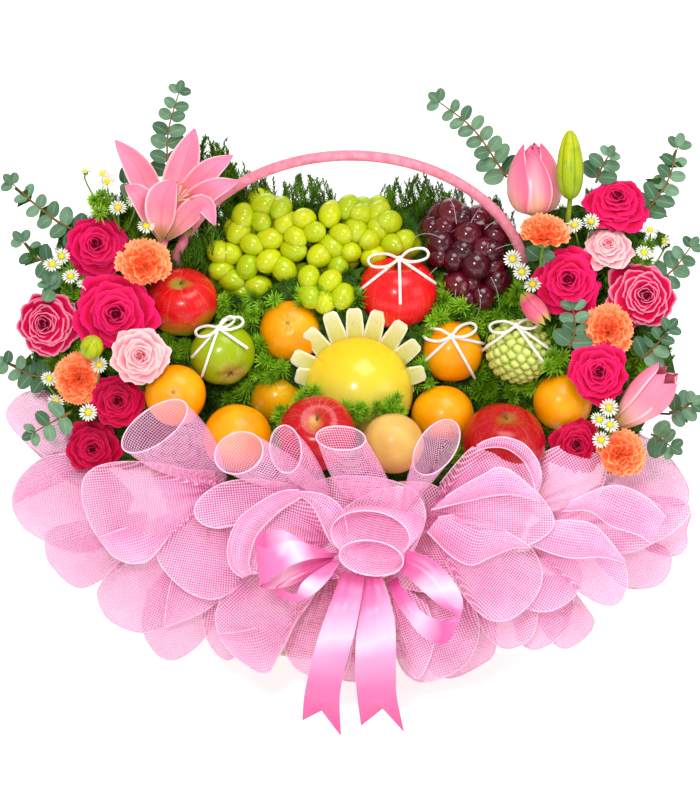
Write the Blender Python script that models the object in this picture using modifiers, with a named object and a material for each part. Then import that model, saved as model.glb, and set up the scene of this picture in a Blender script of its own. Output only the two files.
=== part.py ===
"""Fruit gift basket: an oval wicker basket with a wrapped handle, heaped with fruit on a bed of
fern moss, framed by flowers, and dressed with a ruffled mesh skirt and a satin bow.

Metres, +Z up. The origin is the middle of the basket's flat underside. The heap leans back from the
viewer, so most places are given on its display face: millimetres to the right, up the face and out
of it, from a point on the basket's middle plane.
"""

import math
import random

import bmesh
import bpy
from mathutils import Matrix, Vector

MM = 0.001
GAP = 0.0006
SEED = 11

LEAN = math.radians(28)
FACE_HEIGHT = 0.2775
RIGHT = Vector((1, 0, 0))
UPWARD = Vector((0, math.sin(LEAN), math.cos(LEAN)))
OUTWARD = Vector((0, -math.cos(LEAN), math.sin(LEAN)))
FOCUS = Vector((0, 0.42, 0.05))

OVAL = 1.46
RIM_HALF_DEPTH = 0.145
BASE_HALF_DEPTH = 0.106
RIM_HEIGHT = 0.19
WALL = 0.007
FLOOR_THICKNESS = 0.008
RIM_ROLL = 0.006

HANDLE_RADIUS = 0.006
HANDLE_PLANE = 0.045
HANDLE_TOP = 0.549
HANDLE_SHOULDER = 0.386
HANDLE_HALF_WIDTH = 0.195
HANDLE_RIM_X = 0.178
HANDLE_FOOT_X = 0.136
HANDLE_FOOT_Z = 0.06

MESH_THICKNESS = 0.0017
GATHER_RADIUS = 0.011
FLATTER = 0.35
SATIN_THICKNESS = 0.0014
SATIN_WIDTH = 42
STRING_RADIUS = 0.0016
STEM_REACH = 0.062
LEAF_RADIUS = 11
DAISY_RADIUS = 11

# Each fruit: right, up, out, diameter (mm) and where its stem end points (right, up, out).
APPLES = {
    "apple_left": (-184, 100, 50, 78, (-0.08, 0.72, 0.69)),
    "apple_front": (-36, -44, 123, 84, (0.0, 0.5, 0.87)),
    "apple_right": (168, -55, 84, 92, (0.12, 0.8, 0.58)),
    "green_apple": (-139, 43, 67, 71, (-0.3, 0.75, -0.58)),
    "red_apple": (52, 110, 44, 87, (0.0, 0.9, 0.4)),
}
ORANGES = {
    "orange_top": (-65, 69, 44, 70, (-0.09, 0.28, 0.95)),
    "orange_left": (-191, -1, 86, 67, (-0.05, 0.11, 0.99)),
    "orange_front": (-123, -48, 92, 76, (0.2, 0.7, 0.6)),
    "orange_tied": (111, 47, 40, 70, (0.0, 0.6, 0.7)),
    "orange_middle": (102, -24, 48, 69, (0.0, 0.6, 0.7)),
    "orange_right": (233, -9, 47, 65, (-0.1, 0.3, 0.9)),
    "mandarin": (-79, -4, 24, 62, (0.2, 0.5, 0.8)),
    "pale_pear": (47, -54, 109, 68, (0.1, 0.8, 0.5)),
}
SUGAR_APPLE = (185, 46, 46, 75, (0.0, 0.8, 0.5))
MELON = (9, 3, 42, 121)
MELON_PETAL_ANGLES = (3, 20, 38, 57, 75, 93, 111, 129, 148, 166)

# Roses and carnations: right, up, out and diameter (mm).
ROSES = {
    "rose_deep_a": (-277, 161, 45, 70),
    "rose_deep_b": (-256, 87, 92, 86),
    "rose_two_tone_a": (-331, 76, 58, 70),
    "rose_blush_a": (-229, 41, 122, 62),
    "rose_deep_c": (-254, -8, 92, 57),
    "rose_deep_d": (-281, -59, 62, 56),
    "rose_deep_e": (292, 209, 45, 68),
    "rose_blush_b": (283, 160, 62, 52),
    "rose_deep_f": (239, 125, 72, 73),
    "rose_two_tone_b": (320, 107, 55, 73),
    "rose_deep_g": (272, 23, 92, 63),
    "rose_deep_h": (248, -56, 74, 57),
}
CARNATIONS = {
    "carnation_a": (-224, 146, 86, 62),
    "carnation_b": (-298, 17, 70, 57),
    "carnation_c": (216, 178, 86, 57),
    "carnation_d": (283, 70, 74, 57),
    "carnation_e": (297, -65, 88, 55),
}

# Rows of grapes: height up the face, then the places along the row (mm).
GREEN_ROWS = (
    (207, (-94, -2)),
    (197, (-117, -50, -22, 12, 31)),
    (189, (-98, -70, 45)),
    (178, (-122, -40, -10, 6)),
    (169, (-88, 22, 48)),
    (164, (-108,)),
    (156, (-142, -62, -22, 1)),
    (147, (-89, -38, 24)),
    (138, (-134, -112, -72, -12)),
    (125, (-130, -46, -23)),
    (116, (-102,)),
    (105, (-44, -26, -8)),
)
PURPLE_ROWS = (
    (197, (111, 140)),
    (182, (90, 127)),
    (173, (156,)),
    (164, (100,)),
    (154, (153,)),
    (143, (112, 137)),
    (121, (118, 160)),
    (106, (144,)),
)
GRAPE_RADIUS = 12.5
PURPLE_RADIUS = 14.5
GRAPE_SIDES = 6

# Ties: the knot, the two loops and the three ends, seen from in front as (right, up) in
# millimetres from the middle of the fruit.
TIED_FRUIT = {
    "tie_green_apple": APPLES["green_apple"],
    "tie_red_apple": APPLES["red_apple"],
    "tie_orange": ORANGES["orange_tied"],
    "tie_sugar_apple": SUGAR_APPLE,
}
TIES = {
    "tie_green_apple": ((-5, 29), ((-30, 24), (22, 37)), ((-34, -3), (-23, -24), (27, 7))),
    "tie_red_apple": ((2, 38), ((-32, 36), (34, 44)), ((-40, 0), (40, 11), (3, -12))),
    "tie_orange": ((0, 16), ((-31, 20), (27, 27)), ((-30, -12), (24, -22), (32, 8))),
    "tie_sugar_apple": ((-3, 29), ((-32, 27), (20, 31)), ((-35, -2), (27, -21), (35, 0))),
}

# Mesh petals: place of the root along the rim, tip (right, up, out), half width, curl in degrees
# and how far the middle swells outwards (mm).
SKIRT_LEFT = (
    (-196, (-362, -128, 6), 52, 38, 16),
    (-170, (-310, -206, 14), 44, 34, 12),
    (-150, (-285, -150, 66), 56, 42, 26),
    (-120, (-272, -232, 34), 46, 36, 16),
    (-95, (-200, -286, 44), 48, 36, 14),
    (-70, (-168, -222, 112), 47, 46, 22),
    (-45, (-94, -302, 88), 46, 38, 18),
    (-20, (-46, -300, 70), 36, 30, 12),
    (-60, (-138, -288, 52), 40, 34, 10),
)
SKIRT_RIGHT = (
    (20, (72, -308, 92), 32, 44, 14),
    (48, (118, -304, 74), 44, 36, 14),
    (30, (160, -298, 52), 40, 30, 10),
    (80, (186, -268, 66), 42, 36, 14),
    (64, (196, -214, 116), 52, 42, 26),
    (66, (216, -150, 142), 42, 44, 14),
    (104, (236, -252, 44), 44, 34, 12),
    (100, (244, -206, 88), 44, 38, 18),
    (126, (262, -268, 22), 32, 28, 8),
    (140, (296, -220, 52), 50, 38, 18),
    (158, (346, -190, 16), 42, 34, 12),
    (170, (366, -128, 40), 52, 40, 22),
    (196, (368, -78, 12), 44, 36, 14),
    (188, (374, -150, 0), 34, 28, 8),
)
# Rolled mesh loops: place of the root along the rim, middle of the mouth (right, up, out), the
# mouth's half sizes, the turn of its long side in degrees, and how far the mouth looks at the viewer.
RUFFLE = (
    (-190, (-345, -12, 18), 34, 24, 35, 0.5),
    (-120, (-212, -42, 134), 37, 25, 42, 0.62),
    (-60, (-121, -64, 158), 28, 23, 25, 0.7),
    (-30, (-62, -62, 160), 26, 15, 118, 0.6),
    (-5, (-10, -56, 176), 25, 20, 10, 0.62),
    (40, (82, -60, 154), 38, 17, 52, 0.55),
    (100, (164, -82, 152), 40, 27, -8, 0.62),
    (150, (242, -84, 112), 36, 26, -20, 0.4),
)
ROSETTE = (
    (0, (34, -118, 172), 48, 26, 20, 0.05),
    (10, (22, -176, 176), 36, 19, 8, 0.75),
    (-10, (-68, -150, 142), 56, 42, -25, 0.8),
)
SIDE_PETALS = (
    (-20, (-158, -138, 150), 26, 50, 12),
    (60, (212, -76, 96), 30, 40, 12),
)

# Satin bow: the knot, then each loop's far end, the way it opens, and the ribbon's width near the
# knot and far from it; then each tail's bend, tip and how deep its end is notched (mm).
BOW_KNOT = (20, -196, 192)
BOW_LOOPS = (
    ((-100, -190, 204), (0.2, 0.9, 0.4), (0.0, 0.8, 0.6), (0.1, 0.9, 0.3)),
    ((-46, -222, 206), (0.5, 0.8, 0.3), (0.3, 0.6, 0.7), (0.5, 0.8, 0.3)),
    ((104, -230, 204), (0.7, 0.6, 0.3), (0.3, 0.6, 0.7), (0.5, 0.8, 0.3)),
)
BOW_TAILS = (
    ((-10, -262, 190), (-30, -364, 128), 16),
    ((26, -264, 190), (36, -365, 128), 15),
)

# Sprigs of round leaves: start and end (right, up, out) and how many pairs of leaves.
SPRIGS = (
    ((-200, 240, 40), (-187, 340, 60), 4),
    ((-297, 170, 20), (-368, 226, 30), 3),
    ((-332, 140, 20), (-357, 166, 30), 1),
    ((-337, 20, 30), (-376, 34, 40), 1),
    ((-305, -24, 80), (-343, -42, 100), 1),
    ((172, 235, 20), (98, 318, 40), 4),
    ((262, 225, 30), (283, 262, 40), 1),
    ((324, 190, 20), (358, 268, 30), 3),
    ((340, 120, 30), (374, 160, 40), 2),
    ((318, 42, 50), (349, 71, 70), 1),
    ((350, -22, 40), (375, -10, 50), 1),
)
# Daisies: right, up and out (mm).
DAISIES = (
    (-290, 246, 50), (-266, 233, 60), (-236, 213, 70), (-315, 150, 50), (-330, 16, 72),
    (-287, -21, 100), (190, 134, 70), (264, 190, 58), (343, 168, 50), (284, -16, 96),
    (274, -50, 106), (344, 11, 60),
)


# Swellings of the moss bed: middle (right, up, out) and half sizes (mm).
MOUNDS = (
    ((0, 80, -30), (215, 160, 58)),
    ((-245, 62, 0), (108, 148, 44)),
    ((250, 62, 0), (108, 148, 44)),
    ((0, -74, 34), (212, 40, 52)),
)
# The upright heap under them, from the rim up to the leaning mound: middle and half sizes (m).
HEAP_MIDDLE = (0, 0.042, 0.272)
HEAP_HALF_SIZES = (0.196, 0.094, 0.16)
# Fern plumes: tip (right, up, out) and height. Clumps between the fruit: middle and radius.
PLUMES = (
    (-156, 280, 0, 110), (-131, 255, 0, 80), (-94, 236, 0, 60), (-52, 240, 0, 70), (-20, 230, 0, 50),
    (40, 228, 0, 60), (72, 235, 0, 70), (98, 222, 0, 50), (-185, 150, 20, 40), (160, 214, 0, 50),
)
CLUMPS = (
    (-130, 96, 44, 22), (-188, 52, 60, 18), (-116, 8, 58, 24), (-92, 40, 40, 22), (-66, -28, 90, 18),
    (84, 20, 50, 18), (140, 8, 58, 22), (196, 2, 56, 18), (118, 88, 44, 20), (222, 34, 50, 22),
    (208, -44, 66, 16),
)


def on_face(right, up, out=0.0):
    """The point that many millimetres right, up and out on the display face."""
    return Vector((0, 0, FACE_HEIGHT)) + (RIGHT * right + UPWARD * up + OUTWARD * out) * MM


def face_direction(right, up, out):
    return (RIGHT * right + UPWARD * up + OUTWARD * out).normalized()


def rim_point(right):
    """A point just outside the front of the rim, that many millimetres to the right."""
    angle = math.asin(max(-1.0, min(1.0, right * MM / (RIM_HALF_DEPTH * OVAL))))
    on_rim = Vector((RIM_HALF_DEPTH * OVAL * math.sin(angle), -RIM_HALF_DEPTH * math.cos(angle), 0))
    away = Vector((math.sin(angle), -OVAL * math.cos(angle), 0)).normalized()
    return on_rim + away * (GATHER_RADIUS + RIM_ROLL + GAP) + Vector((0, 0, RIM_HEIGHT - 0.006))


def linear(channel):
    share = channel / 255
    return share / 12.92 if share <= 0.04045 else ((share + 0.055) / 1.055) ** 2.4


def material(name, colour, roughness, metallic=0.0):
    """A Principled material whose colour is given as it looks on a screen."""
    found = bpy.data.materials.get(name)
    if found:
        return found
    made = bpy.data.materials.new(name)
    made.use_nodes = True
    shader = made.node_tree.nodes["Principled BSDF"]
    shade = tuple(linear(channel) for channel in colour) + (1,)
    shader.inputs["Base Color"].default_value = shade
    shader.inputs["Roughness"].default_value = roughness
    shader.inputs["Metallic"].default_value = metallic
    made.diffuse_color = shade
    return made


def start_scene():
    for obj in list(bpy.data.objects):
        bpy.data.objects.remove(obj, do_unlink=True)
    found = {}
    for name in ("fruit_gift_basket", "cutters"):
        found[name] = bpy.data.collections.new(name)
        bpy.context.scene.collection.children.link(found[name])
    return found


COLLECTIONS = start_scene()


def add_object(name, mesh, finish=None, place=None, pointing=None, spin=0.0):
    """An object in the basket's collection, its own +Z turned to a direction."""
    obj = bpy.data.objects.new(name, mesh)
    COLLECTIONS["fruit_gift_basket"].objects.link(obj)
    if finish:
        mesh.materials.append(finish)
    if place is not None:
        obj.location = place
    if pointing is not None:
        turn = Vector(pointing).to_track_quat("Z", "Y").to_matrix() @ Matrix.Rotation(spin, 3, "Z")
        obj.rotation_euler = turn.to_euler()
    return obj


def mesh_of(name, shape):
    mesh = bpy.data.meshes.new(name)
    shape.to_mesh(mesh)
    shape.free()
    mesh.shade_smooth()
    return mesh


def turned(name, profile, sides, lobes=0, wave=0.0, phase=0.0):
    """A ball whose rings take (radius, height) pairs from top to bottom, lobed if asked."""
    shape = bmesh.new()
    bands = len(profile) - 1
    bmesh.ops.create_uvsphere(shape, u_segments=sides, v_segments=bands, radius=1)
    for vertex in shape.verts:
        ring = round(math.acos(max(-1, min(1, vertex.co.z))) / math.pi * bands)
        angle = math.atan2(vertex.co.y, vertex.co.x)
        radius, height = profile[ring]
        radius *= 1 + wave * math.cos(lobes * angle + phase + ring)
        vertex.co = Vector((radius * math.cos(angle), radius * math.sin(angle), height))
    return mesh_of(name, shape)


def ball_profile(radius, bands, stem_dip=0.0, base_dip=0.0, squash=1.0, taper=0.0):
    """Rings of a fruit from its stem end to its base, with a dimple at each end."""
    rings = []
    for ring in range(bands + 1):
        angle = math.pi * ring / bands
        height = squash * math.cos(angle)
        height -= stem_dip * math.exp(-((angle / 0.42) ** 2))
        height += base_dip * math.exp(-(((math.pi - angle) / 0.42) ** 2))
        across = math.sin(angle) * (1 + taper * math.cos(angle))
        rings.append((radius * across if 0 < ring < bands else 0.0, radius * height))
    return rings


def applied(obj):
    """The object's mesh with its modifiers applied, in world space."""
    bpy.context.view_layer.update()
    graph = bpy.context.evaluated_depsgraph_get()
    mesh = bpy.data.meshes.new_from_object(obj.evaluated_get(graph), depsgraph=graph)
    mesh.transform(obj.matrix_world)
    shape = bmesh.new()
    shape.from_mesh(mesh)
    bmesh.ops.remove_doubles(shape, verts=shape.verts, dist=5e-6)
    bmesh.ops.triangulate(shape, faces=shape.faces)
    shape.to_mesh(mesh)
    shape.free()
    return mesh


def keep_largest_part(mesh):
    """Drops scraps and sealed hollows, so that one closed surface is left."""
    shape = bmesh.new()
    shape.from_mesh(mesh)
    unseen = set(shape.faces)
    parts = []
    while unseen:
        part = {unseen.pop()}
        edge_of_part = list(part)
        while edge_of_part:
            face = edge_of_part.pop()
            for edge in face.edges:
                for other in edge.link_faces:
                    if other in unseen:
                        unseen.discard(other)
                        part.add(other)
                        edge_of_part.append(other)
        parts.append(part)
    keep = max(parts, key=lambda faces: sum(face.calc_area() for face in faces))
    scraps = [face for face in shape.faces if face not in keep]
    bmesh.ops.delete(shape, geom=scraps, context="FACES")
    loose = [vertex for vertex in shape.verts if not vertex.link_faces]
    bmesh.ops.delete(shape, geom=loose, context="VERTS")
    shape.to_mesh(mesh)
    shape.free()


def boolean_with(obj, others, operation, solver):
    """Applies one Boolean between the object and a list of others, which are then removed."""
    helpers = bpy.data.collections.new("helpers")
    COLLECTIONS["cutters"].children.link(helpers)
    for other in others:
        for collection in list(other.users_collection):
            collection.objects.unlink(other)
        helpers.objects.link(other)
    modifier = obj.modifiers.new(operation.lower(), "BOOLEAN")
    modifier.operation = operation
    modifier.operand_type = "COLLECTION"
    modifier.collection = helpers
    modifier.solver = solver
    mesh = applied(obj)
    obj.modifiers.clear()
    finish = obj.data.materials[0] if obj.data.materials else None
    obj.data = mesh
    obj.matrix_world = Matrix.Identity(4)
    mesh.materials.clear()
    if finish:
        mesh.materials.append(finish)
    for other in others:
        bpy.data.objects.remove(other, do_unlink=True)
    bpy.data.collections.remove(helpers)


def plain(obj):
    """The object with its place and modifiers applied, as a Boolean wants it."""
    mesh = applied(obj)
    made = add_object(obj.name + "_plain", mesh)
    bpy.data.objects.remove(obj, do_unlink=True)
    return made


def fuse(name, pieces, finish, keep=1.0, solver="MANIFOLD"):
    """One closed solid from overlapping pieces, thinned to a share of its triangles."""
    solids = [plain(piece) for piece in pieces]
    first, others = solids[0], solids[1:]
    if others:
        boolean_with(first, others, "UNION", solver)
    keep_largest_part(first.data)
    if keep < 1:
        thinner = first.modifiers.new("thinner", "DECIMATE")
        thinner.ratio = keep
        thinned = applied(first)
        first.modifiers.clear()
        first.data = thinned
    first.name = name
    first.data.name = name
    first.data.materials.clear()
    first.data.materials.append(finish)
    return first


def clearance(obj, hull=True):
    """A cutter a little larger than the object: its convex hull, or its own shape."""
    mesh = applied(obj)
    shape = bmesh.new()
    if hull:
        corners = [shape.verts.new(vertex.co) for vertex in mesh.vertices]
        bmesh.ops.convex_hull(shape, input=corners)
        spare = [vertex for vertex in shape.verts if not vertex.link_faces]
        bmesh.ops.delete(shape, geom=spare, context="VERTS")
    else:
        shape.from_mesh(mesh)
    bmesh.ops.recalc_face_normals(shape, faces=shape.faces)
    shape.normal_update()
    for vertex in shape.verts:
        vertex.co += vertex.normal * GAP * 1.6
    shape.to_mesh(mesh)
    shape.free()
    return add_cutter(obj.name + "_cutter", mesh)


def add_cutter(name, mesh):
    cutter = bpy.data.objects.new(name, mesh)
    COLLECTIONS["cutters"].objects.link(cutter)
    cutter.hide_render = True
    cutter.display_type = "WIRE"
    return cutter


def cone_clearance(place, radius):
    """Room in the bed for a flower head and its stem: a five-sided cone."""
    depth = STEM_REACH + radius * 0.1 + 0.004
    shape = bmesh.new()
    wide = radius * 1.26
    bmesh.ops.create_cone(shape, cap_ends=True, segments=5, radius1=0.007, radius2=wide, depth=depth)
    cutter = add_cutter("flower_cutter", mesh_of("flower_cutter", shape))
    pointing = flower_pointing(place)
    cutter.location = place + pointing * (radius * 0.1 - depth / 2)
    cutter.rotation_euler = pointing.to_track_quat("Z", "Y").to_euler()
    return cutter


def ball_clearance(place, radius):
    """Room in the bed for a round fruit."""
    shape = bmesh.new()
    bmesh.ops.create_icosphere(shape, subdivisions=2, radius=radius * 1.09 + GAP)
    cutter = add_cutter("fruit_cutter", mesh_of("fruit_cutter", shape))
    cutter.location = place
    return cutter


def tube(name, points, radius, finish=None, resolution=2):
    """A round bar along the points, with closed ends."""
    curve = bpy.data.curves.new(name, "CURVE")
    curve.dimensions = "3D"
    curve.bevel_depth = radius
    curve.bevel_resolution = resolution
    curve.use_fill_caps = True
    spline = curve.splines.new("POLY")
    spline.points.add(len(points) - 1)
    for point, place in zip(spline.points, points):
        point.co = (*place, 1)
    if finish:
        curve.materials.append(finish)
    obj = bpy.data.objects.new(name, curve)
    COLLECTIONS["fruit_gift_basket"].objects.link(obj)
    return obj


def sheet(name, grid, thickness, finish=None, closed=False):
    """A thin solid from rows of points; both of its faces split into triangles alike."""
    shape = bmesh.new()
    rows = [[shape.verts.new(point) for point in row] for row in grid]
    for low, high in zip(rows, rows[1:]):
        last = len(low) if closed else len(low) - 1
        for i in range(last):
            j = (i + 1) % len(low)
            shape.faces.new((low[i], low[j], high[j], high[i]))
    bmesh.ops.remove_doubles(shape, verts=shape.verts, dist=1e-5)
    bmesh.ops.triangulate(shape, faces=shape.faces)
    obj = add_object(name, mesh_of(name, shape), finish)
    solidify = obj.modifiers.new("thickness", "SOLIDIFY")
    solidify.thickness = thickness
    solidify.offset = 0
    return obj


def bezier(start, bend, end, share):
    rest = 1 - share
    return start * rest * rest + bend * 2 * rest * share + end * share * share


def petal_width(share, root, peak):
    """How wide a petal is at a share of its length: narrow root, full middle, round end."""
    grow = root + (1 - root) * math.sin(min(1.0, share / peak) * math.pi / 2)
    past = max(0.0, (share - peak) / (1 - peak))
    return grow * math.sqrt(max(0.0, 1 - past * past))


def blade(start, bend, end, half_width, facing, curl, root=0.2, peak=0.6, rows=3, columns=2):
    """Rows of points of a petal that curls up on both sides towards the way it faces."""
    grid = []
    for row in range(rows + 1):
        share = math.sin(row / rows * math.pi / 2) ** 1.15
        centre = bezier(start, bend, end, share)
        along = (bezier(start, bend, end, min(1.0, share + 0.02)) - bezier(start, bend, end, share - 0.02))
        side = along.cross(facing).normalized()
        rise = side.cross(along).normalized()
        width = half_width * petal_width(share, root, peak)
        angle = math.radians(curl) * (1.4 - 0.6 * share)
        line = []
        bow = width / angle
        for column in range(columns + 1):
            turn = angle * (2 * column / columns - 1)
            line.append(centre + side * math.sin(turn) * bow + rise * (1 - math.cos(turn)) * bow)
        grid.append(line)
    return grid


def horn(root, mouth, half_long, half_short, turn, look, rows=1, sides=8):
    """Rings of a rolled loop that opens from its root into an oval mouth."""
    along = (mouth - root).normalized()
    gaze = (along * (1 - look) + OUTWARD * look).normalized()
    flat = math.radians(turn)
    long_way = (RIGHT * math.cos(flat) + UPWARD * math.sin(flat))
    long_way = (long_way - gaze * long_way.dot(gaze)).normalized()
    short_way = gaze.cross(long_way)
    rings = []
    for row in range(rows + 1):
        share = row / rows
        size = (0.14 + 0.86 * share ** 0.85) * MM
        centre = root.lerp(mouth, share)
        ring = []
        for side in range(sides):
            angle = 2 * math.pi * side / sides
            spread = long_way * math.cos(angle) * half_long + short_way * math.sin(angle) * half_short
            spread -= along * spread.dot(along) * (1 - share)
            ring.append(centre + spread * size)
        rings.append(ring)
    return rings


def flower_pointing(place):
    """Flowers look away from a point deep behind the heap."""
    return (place - FOCUS).normalized()


def stem_piece(head, pointing, start):
    """A short stalk behind a flower head."""
    return tube("stem", (head - pointing * start, head - pointing * STEM_REACH), 0.0035, resolution=0)


def build_basket():
    """Tapered oval tub with a rolled rim, hollow inside."""
    straw = material("white_wicker", (236, 220, 206), 0.6)
    outer = bmesh.new()
    bmesh.ops.create_cone(
        outer, cap_ends=True, segments=24, radius1=BASE_HALF_DEPTH, radius2=RIM_HALF_DEPTH, depth=RIM_HEIGHT
    )
    bmesh.ops.scale(outer, vec=(OVAL, 1, 1), verts=outer.verts)
    tub = add_object("tub", mesh_of("tub", outer), place=(0, 0, RIM_HEIGHT / 2))
    inner = bmesh.new()
    height = RIM_HEIGHT - FLOOR_THICKNESS + 0.01
    slope = (RIM_HALF_DEPTH - BASE_HALF_DEPTH) / RIM_HEIGHT
    low = BASE_HALF_DEPTH + slope * FLOOR_THICKNESS - WALL
    bmesh.ops.create_cone(
        inner, cap_ends=True, segments=24, radius1=low, radius2=low + slope * height, depth=height
    )
    bmesh.ops.scale(inner, vec=(OVAL, 1, 1), verts=inner.verts)
    hollow = add_object("hollow", mesh_of("hollow", inner), place=(0, 0, FLOOR_THICKNESS + height / 2))
    rim = []
    for step in range(24):
        angle = 2 * math.pi * step / 24
        middle = RIM_HALF_DEPTH - WALL / 2
        rim.append((OVAL * middle * math.cos(angle), middle * math.sin(angle), RIM_HEIGHT))
    roll = tube("roll", rim, RIM_ROLL, resolution=0)
    roll.data.splines[0].use_cyclic_u = True
    basket = plain(tub)
    boolean_with(basket, [plain(hollow)], "DIFFERENCE", "EXACT")
    return fuse("basket", [basket, roll], straw)


def build_handle():
    """Arch that stands just behind the middle and runs down inside the tub."""
    finish = material("pink_wrap", (236, 163, 178), 0.4)
    half = []
    for step in range(9):
        angle = math.pi / 2 * step / 8
        x = HANDLE_HALF_WIDTH * math.sin(angle)
        z = HANDLE_SHOULDER + (HANDLE_TOP - HANDLE_SHOULDER) * math.cos(angle)
        half.append((x, HANDLE_PLANE, z))
    for share in (0.25, 0.6, 1.0):
        x = HANDLE_HALF_WIDTH + (HANDLE_RIM_X - HANDLE_HALF_WIDTH) * share ** 1.5
        half.append((x, HANDLE_PLANE, HANDLE_SHOULDER + (RIM_HEIGHT + 0.01 - HANDLE_SHOULDER) * share))
    half.append((HANDLE_FOOT_X, HANDLE_PLANE, HANDLE_FOOT_Z))
    points = [(-x, y, z) for x, y, z in reversed(half)] + half[1:]
    return tube("handle", points, HANDLE_RADIUS, finish, resolution=1)


def build_fruit():
    """Apples, oranges and the other round fruit, each with its own dimples."""
    made = []
    reds = {
        "apple_left": (224, 55, 62), "apple_front": (212, 36, 48), "apple_right": (214, 30, 44),
        "green_apple": (193, 200, 40), "red_apple": (234, 52, 50),
    }
    for name, (right, up, out, size, stem) in APPLES.items():
        profile = ball_profile(size * MM / 2, 6, 0.34, 0.16, 0.9, 0.07)
        finish = material(name, reds[name], 0.25)
        place = on_face(right, up, out)
        direction = face_direction(*stem)
        body = add_object(name + "_body", turned(name, profile, 10), None, place, direction)
        top = place + direction * size * MM * 0.24
        pip = tube("pip", (top, top + direction * size * MM * 0.22), 0.0014, resolution=0)
        made.append(fuse(name, [body, pip], finish))
    for name, (right, up, out, size, stem) in ORANGES.items():
        colour = {"mandarin": (237, 159, 20), "pale_pear": (240, 189, 107)}.get(name, (243, 160, 20))
        profile = ball_profile(size * MM / 2, 6, 0.05, 0.03, 0.97)
        finish = material(name, colour, 0.35)
        place = on_face(right, up, out)
        made.append(add_object(name, turned(name, profile, 10), finish, place, face_direction(*stem)))
    right, up, out, size, stem = SUGAR_APPLE
    profile = ball_profile(size * MM / 2, 8, 0.08, 0.0, 0.96, 0.05)
    mesh = turned("sugar_apple", profile, 12, lobes=6, wave=0.035)
    finish = material("scaly_green", (200, 208, 110), 0.6)
    made.append(add_object("sugar_apple", mesh, finish, on_face(right, up, out), face_direction(*stem)))
    return made


def build_melon():
    """Round melon with a half collar of carved petals standing out behind its brow."""
    right, up, out, size = MELON
    profile = [(r, z if z > 0 else z * 0.35) for r, z in ball_profile(size * MM / 2, 8)]
    body = add_object("melon_body", turned("melon", profile, 14), None, on_face(right, up, out), OUTWARD)
    pieces = [body]
    for degrees in MELON_PETAL_ANGLES:
        angle = math.radians(degrees)
        away = RIGHT * math.cos(angle) + UPWARD * math.sin(angle)
        side = OUTWARD.cross(away)
        base = on_face(right, up, out + 32)
        block = bmesh.new()
        bmesh.ops.create_cube(block, size=1)
        for vertex in block.verts:
            share = vertex.co.x + 0.5
            width = 0.015 + 0.006 * share
            distance = 0.049 + 0.044 * share
            lift = 0.012 * share
            depth = vertex.co.z * 0.007 + lift
            vertex.co = base + away * distance + side * vertex.co.y * width + OUTWARD * depth
        pieces.append(add_object("finger", mesh_of("finger", block)))
    return [fuse("carved_melon", pieces, material("melon", (250, 214, 60), 0.4))]


def grape_bunch(name, rows, radius, depth, colour, jitter, core_share):
    """A flat core with grapes fused on, row by row, bulging in the middle."""
    places = []
    for up, rights in rows:
        places += [(right, up) for right in rights]
    middle_right = (min(right for right, up in places) + max(right for right, up in places)) / 2
    middle_up = (rows[0][0] + rows[-1][0]) / 2
    half_right = max(abs(right - middle_right) for right, up in places) + radius
    half_up = max(abs(up - middle_up) for right, up in places) + radius
    pieces = []
    middle = on_face(middle_right, middle_up, depth - radius * 0.5)
    core = add_object("core", lens(1, 1, 9), None, middle, OUTWARD)
    core.scale = (half_right * core_share * MM, half_up * core_share * MM, radius * 1.2 * MM)
    core.rotation_euler = Matrix((RIGHT, UPWARD, OUTWARD)).transposed().to_euler()
    pieces.append(core)
    draw = random.Random(SEED)
    for right, up in places:
        bulge = 1 - ((right - middle_right) / half_right) ** 2 - ((up - middle_up) / half_up) ** 2
        out = depth + 14 * max(0.0, bulge) + draw.uniform(-jitter, jitter)
        size = radius * draw.uniform(0.92, 1.06) * MM
        pointing = face_direction(draw.uniform(-0.6, 0.6), draw.uniform(-0.9, -0.1), draw.uniform(0.3, 1))
        grape = turned("grape", ball_profile(size, 4, squash=1.12), GRAPE_SIDES)
        pieces.append(add_object("grape", grape, None, on_face(right, up, out), pointing))
    return fuse(name, pieces, material(name, colour, 0.2), keep=0.45)


def rose_mesh(radius, phase):
    """Three rings of petals round a bud, in one lobed turned form."""
    share = (
        (0.0, 0.30), (0.20, 0.42), (0.40, 0.18), (0.66, 0.30), (0.76, 0.06),
        (1.0, 0.08), (0.66, -0.28), (0.14, -0.52), (0.0, -0.54),
    )
    profile = [(radius * r, radius * z) for r, z in share]
    return turned("rose", profile, 8, lobes=3, wave=0.07, phase=phase)


def carnation_mesh(radius, phase):
    """A frilled dome on a narrow calyx."""
    share = (
        (0.0, 0.40), (0.42, 0.36), (0.80, 0.20), (1.0, -0.06), (0.56, -0.26), (0.20, -0.60),
        (0.0, -0.62),
    )
    profile = [(radius * r, radius * z) for r, z in share]
    return turned("carnation", profile, 9, lobes=4, wave=0.09, phase=phase)


def build_flower_heads():
    """Roses and carnations, each on a short stem that runs into the bed."""
    made = []
    colours = {"deep": (241, 10, 81), "blush": (243, 185, 190), "two": (235, 80, 130)}
    heads = [(name, place, rose_mesh) for name, place in ROSES.items()]
    heads += [(name, place, carnation_mesh) for name, place in CARNATIONS.items()]
    for count, (name, (right, up, out, size), shape) in enumerate(heads):
        radius = size * MM / 2
        place = on_face(right, up, out)
        pointing = flower_pointing(place)
        colour = (240, 115, 75) if shape is carnation_mesh else colours[name.split("_")[1]]
        head = add_object(name + "_head", shape(radius, count), None, place, pointing)
        stem = stem_piece(place, pointing, radius * 0.4)
        made.append(fuse(name, [head, stem], material(name, colour, 0.5)))
    return made


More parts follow.
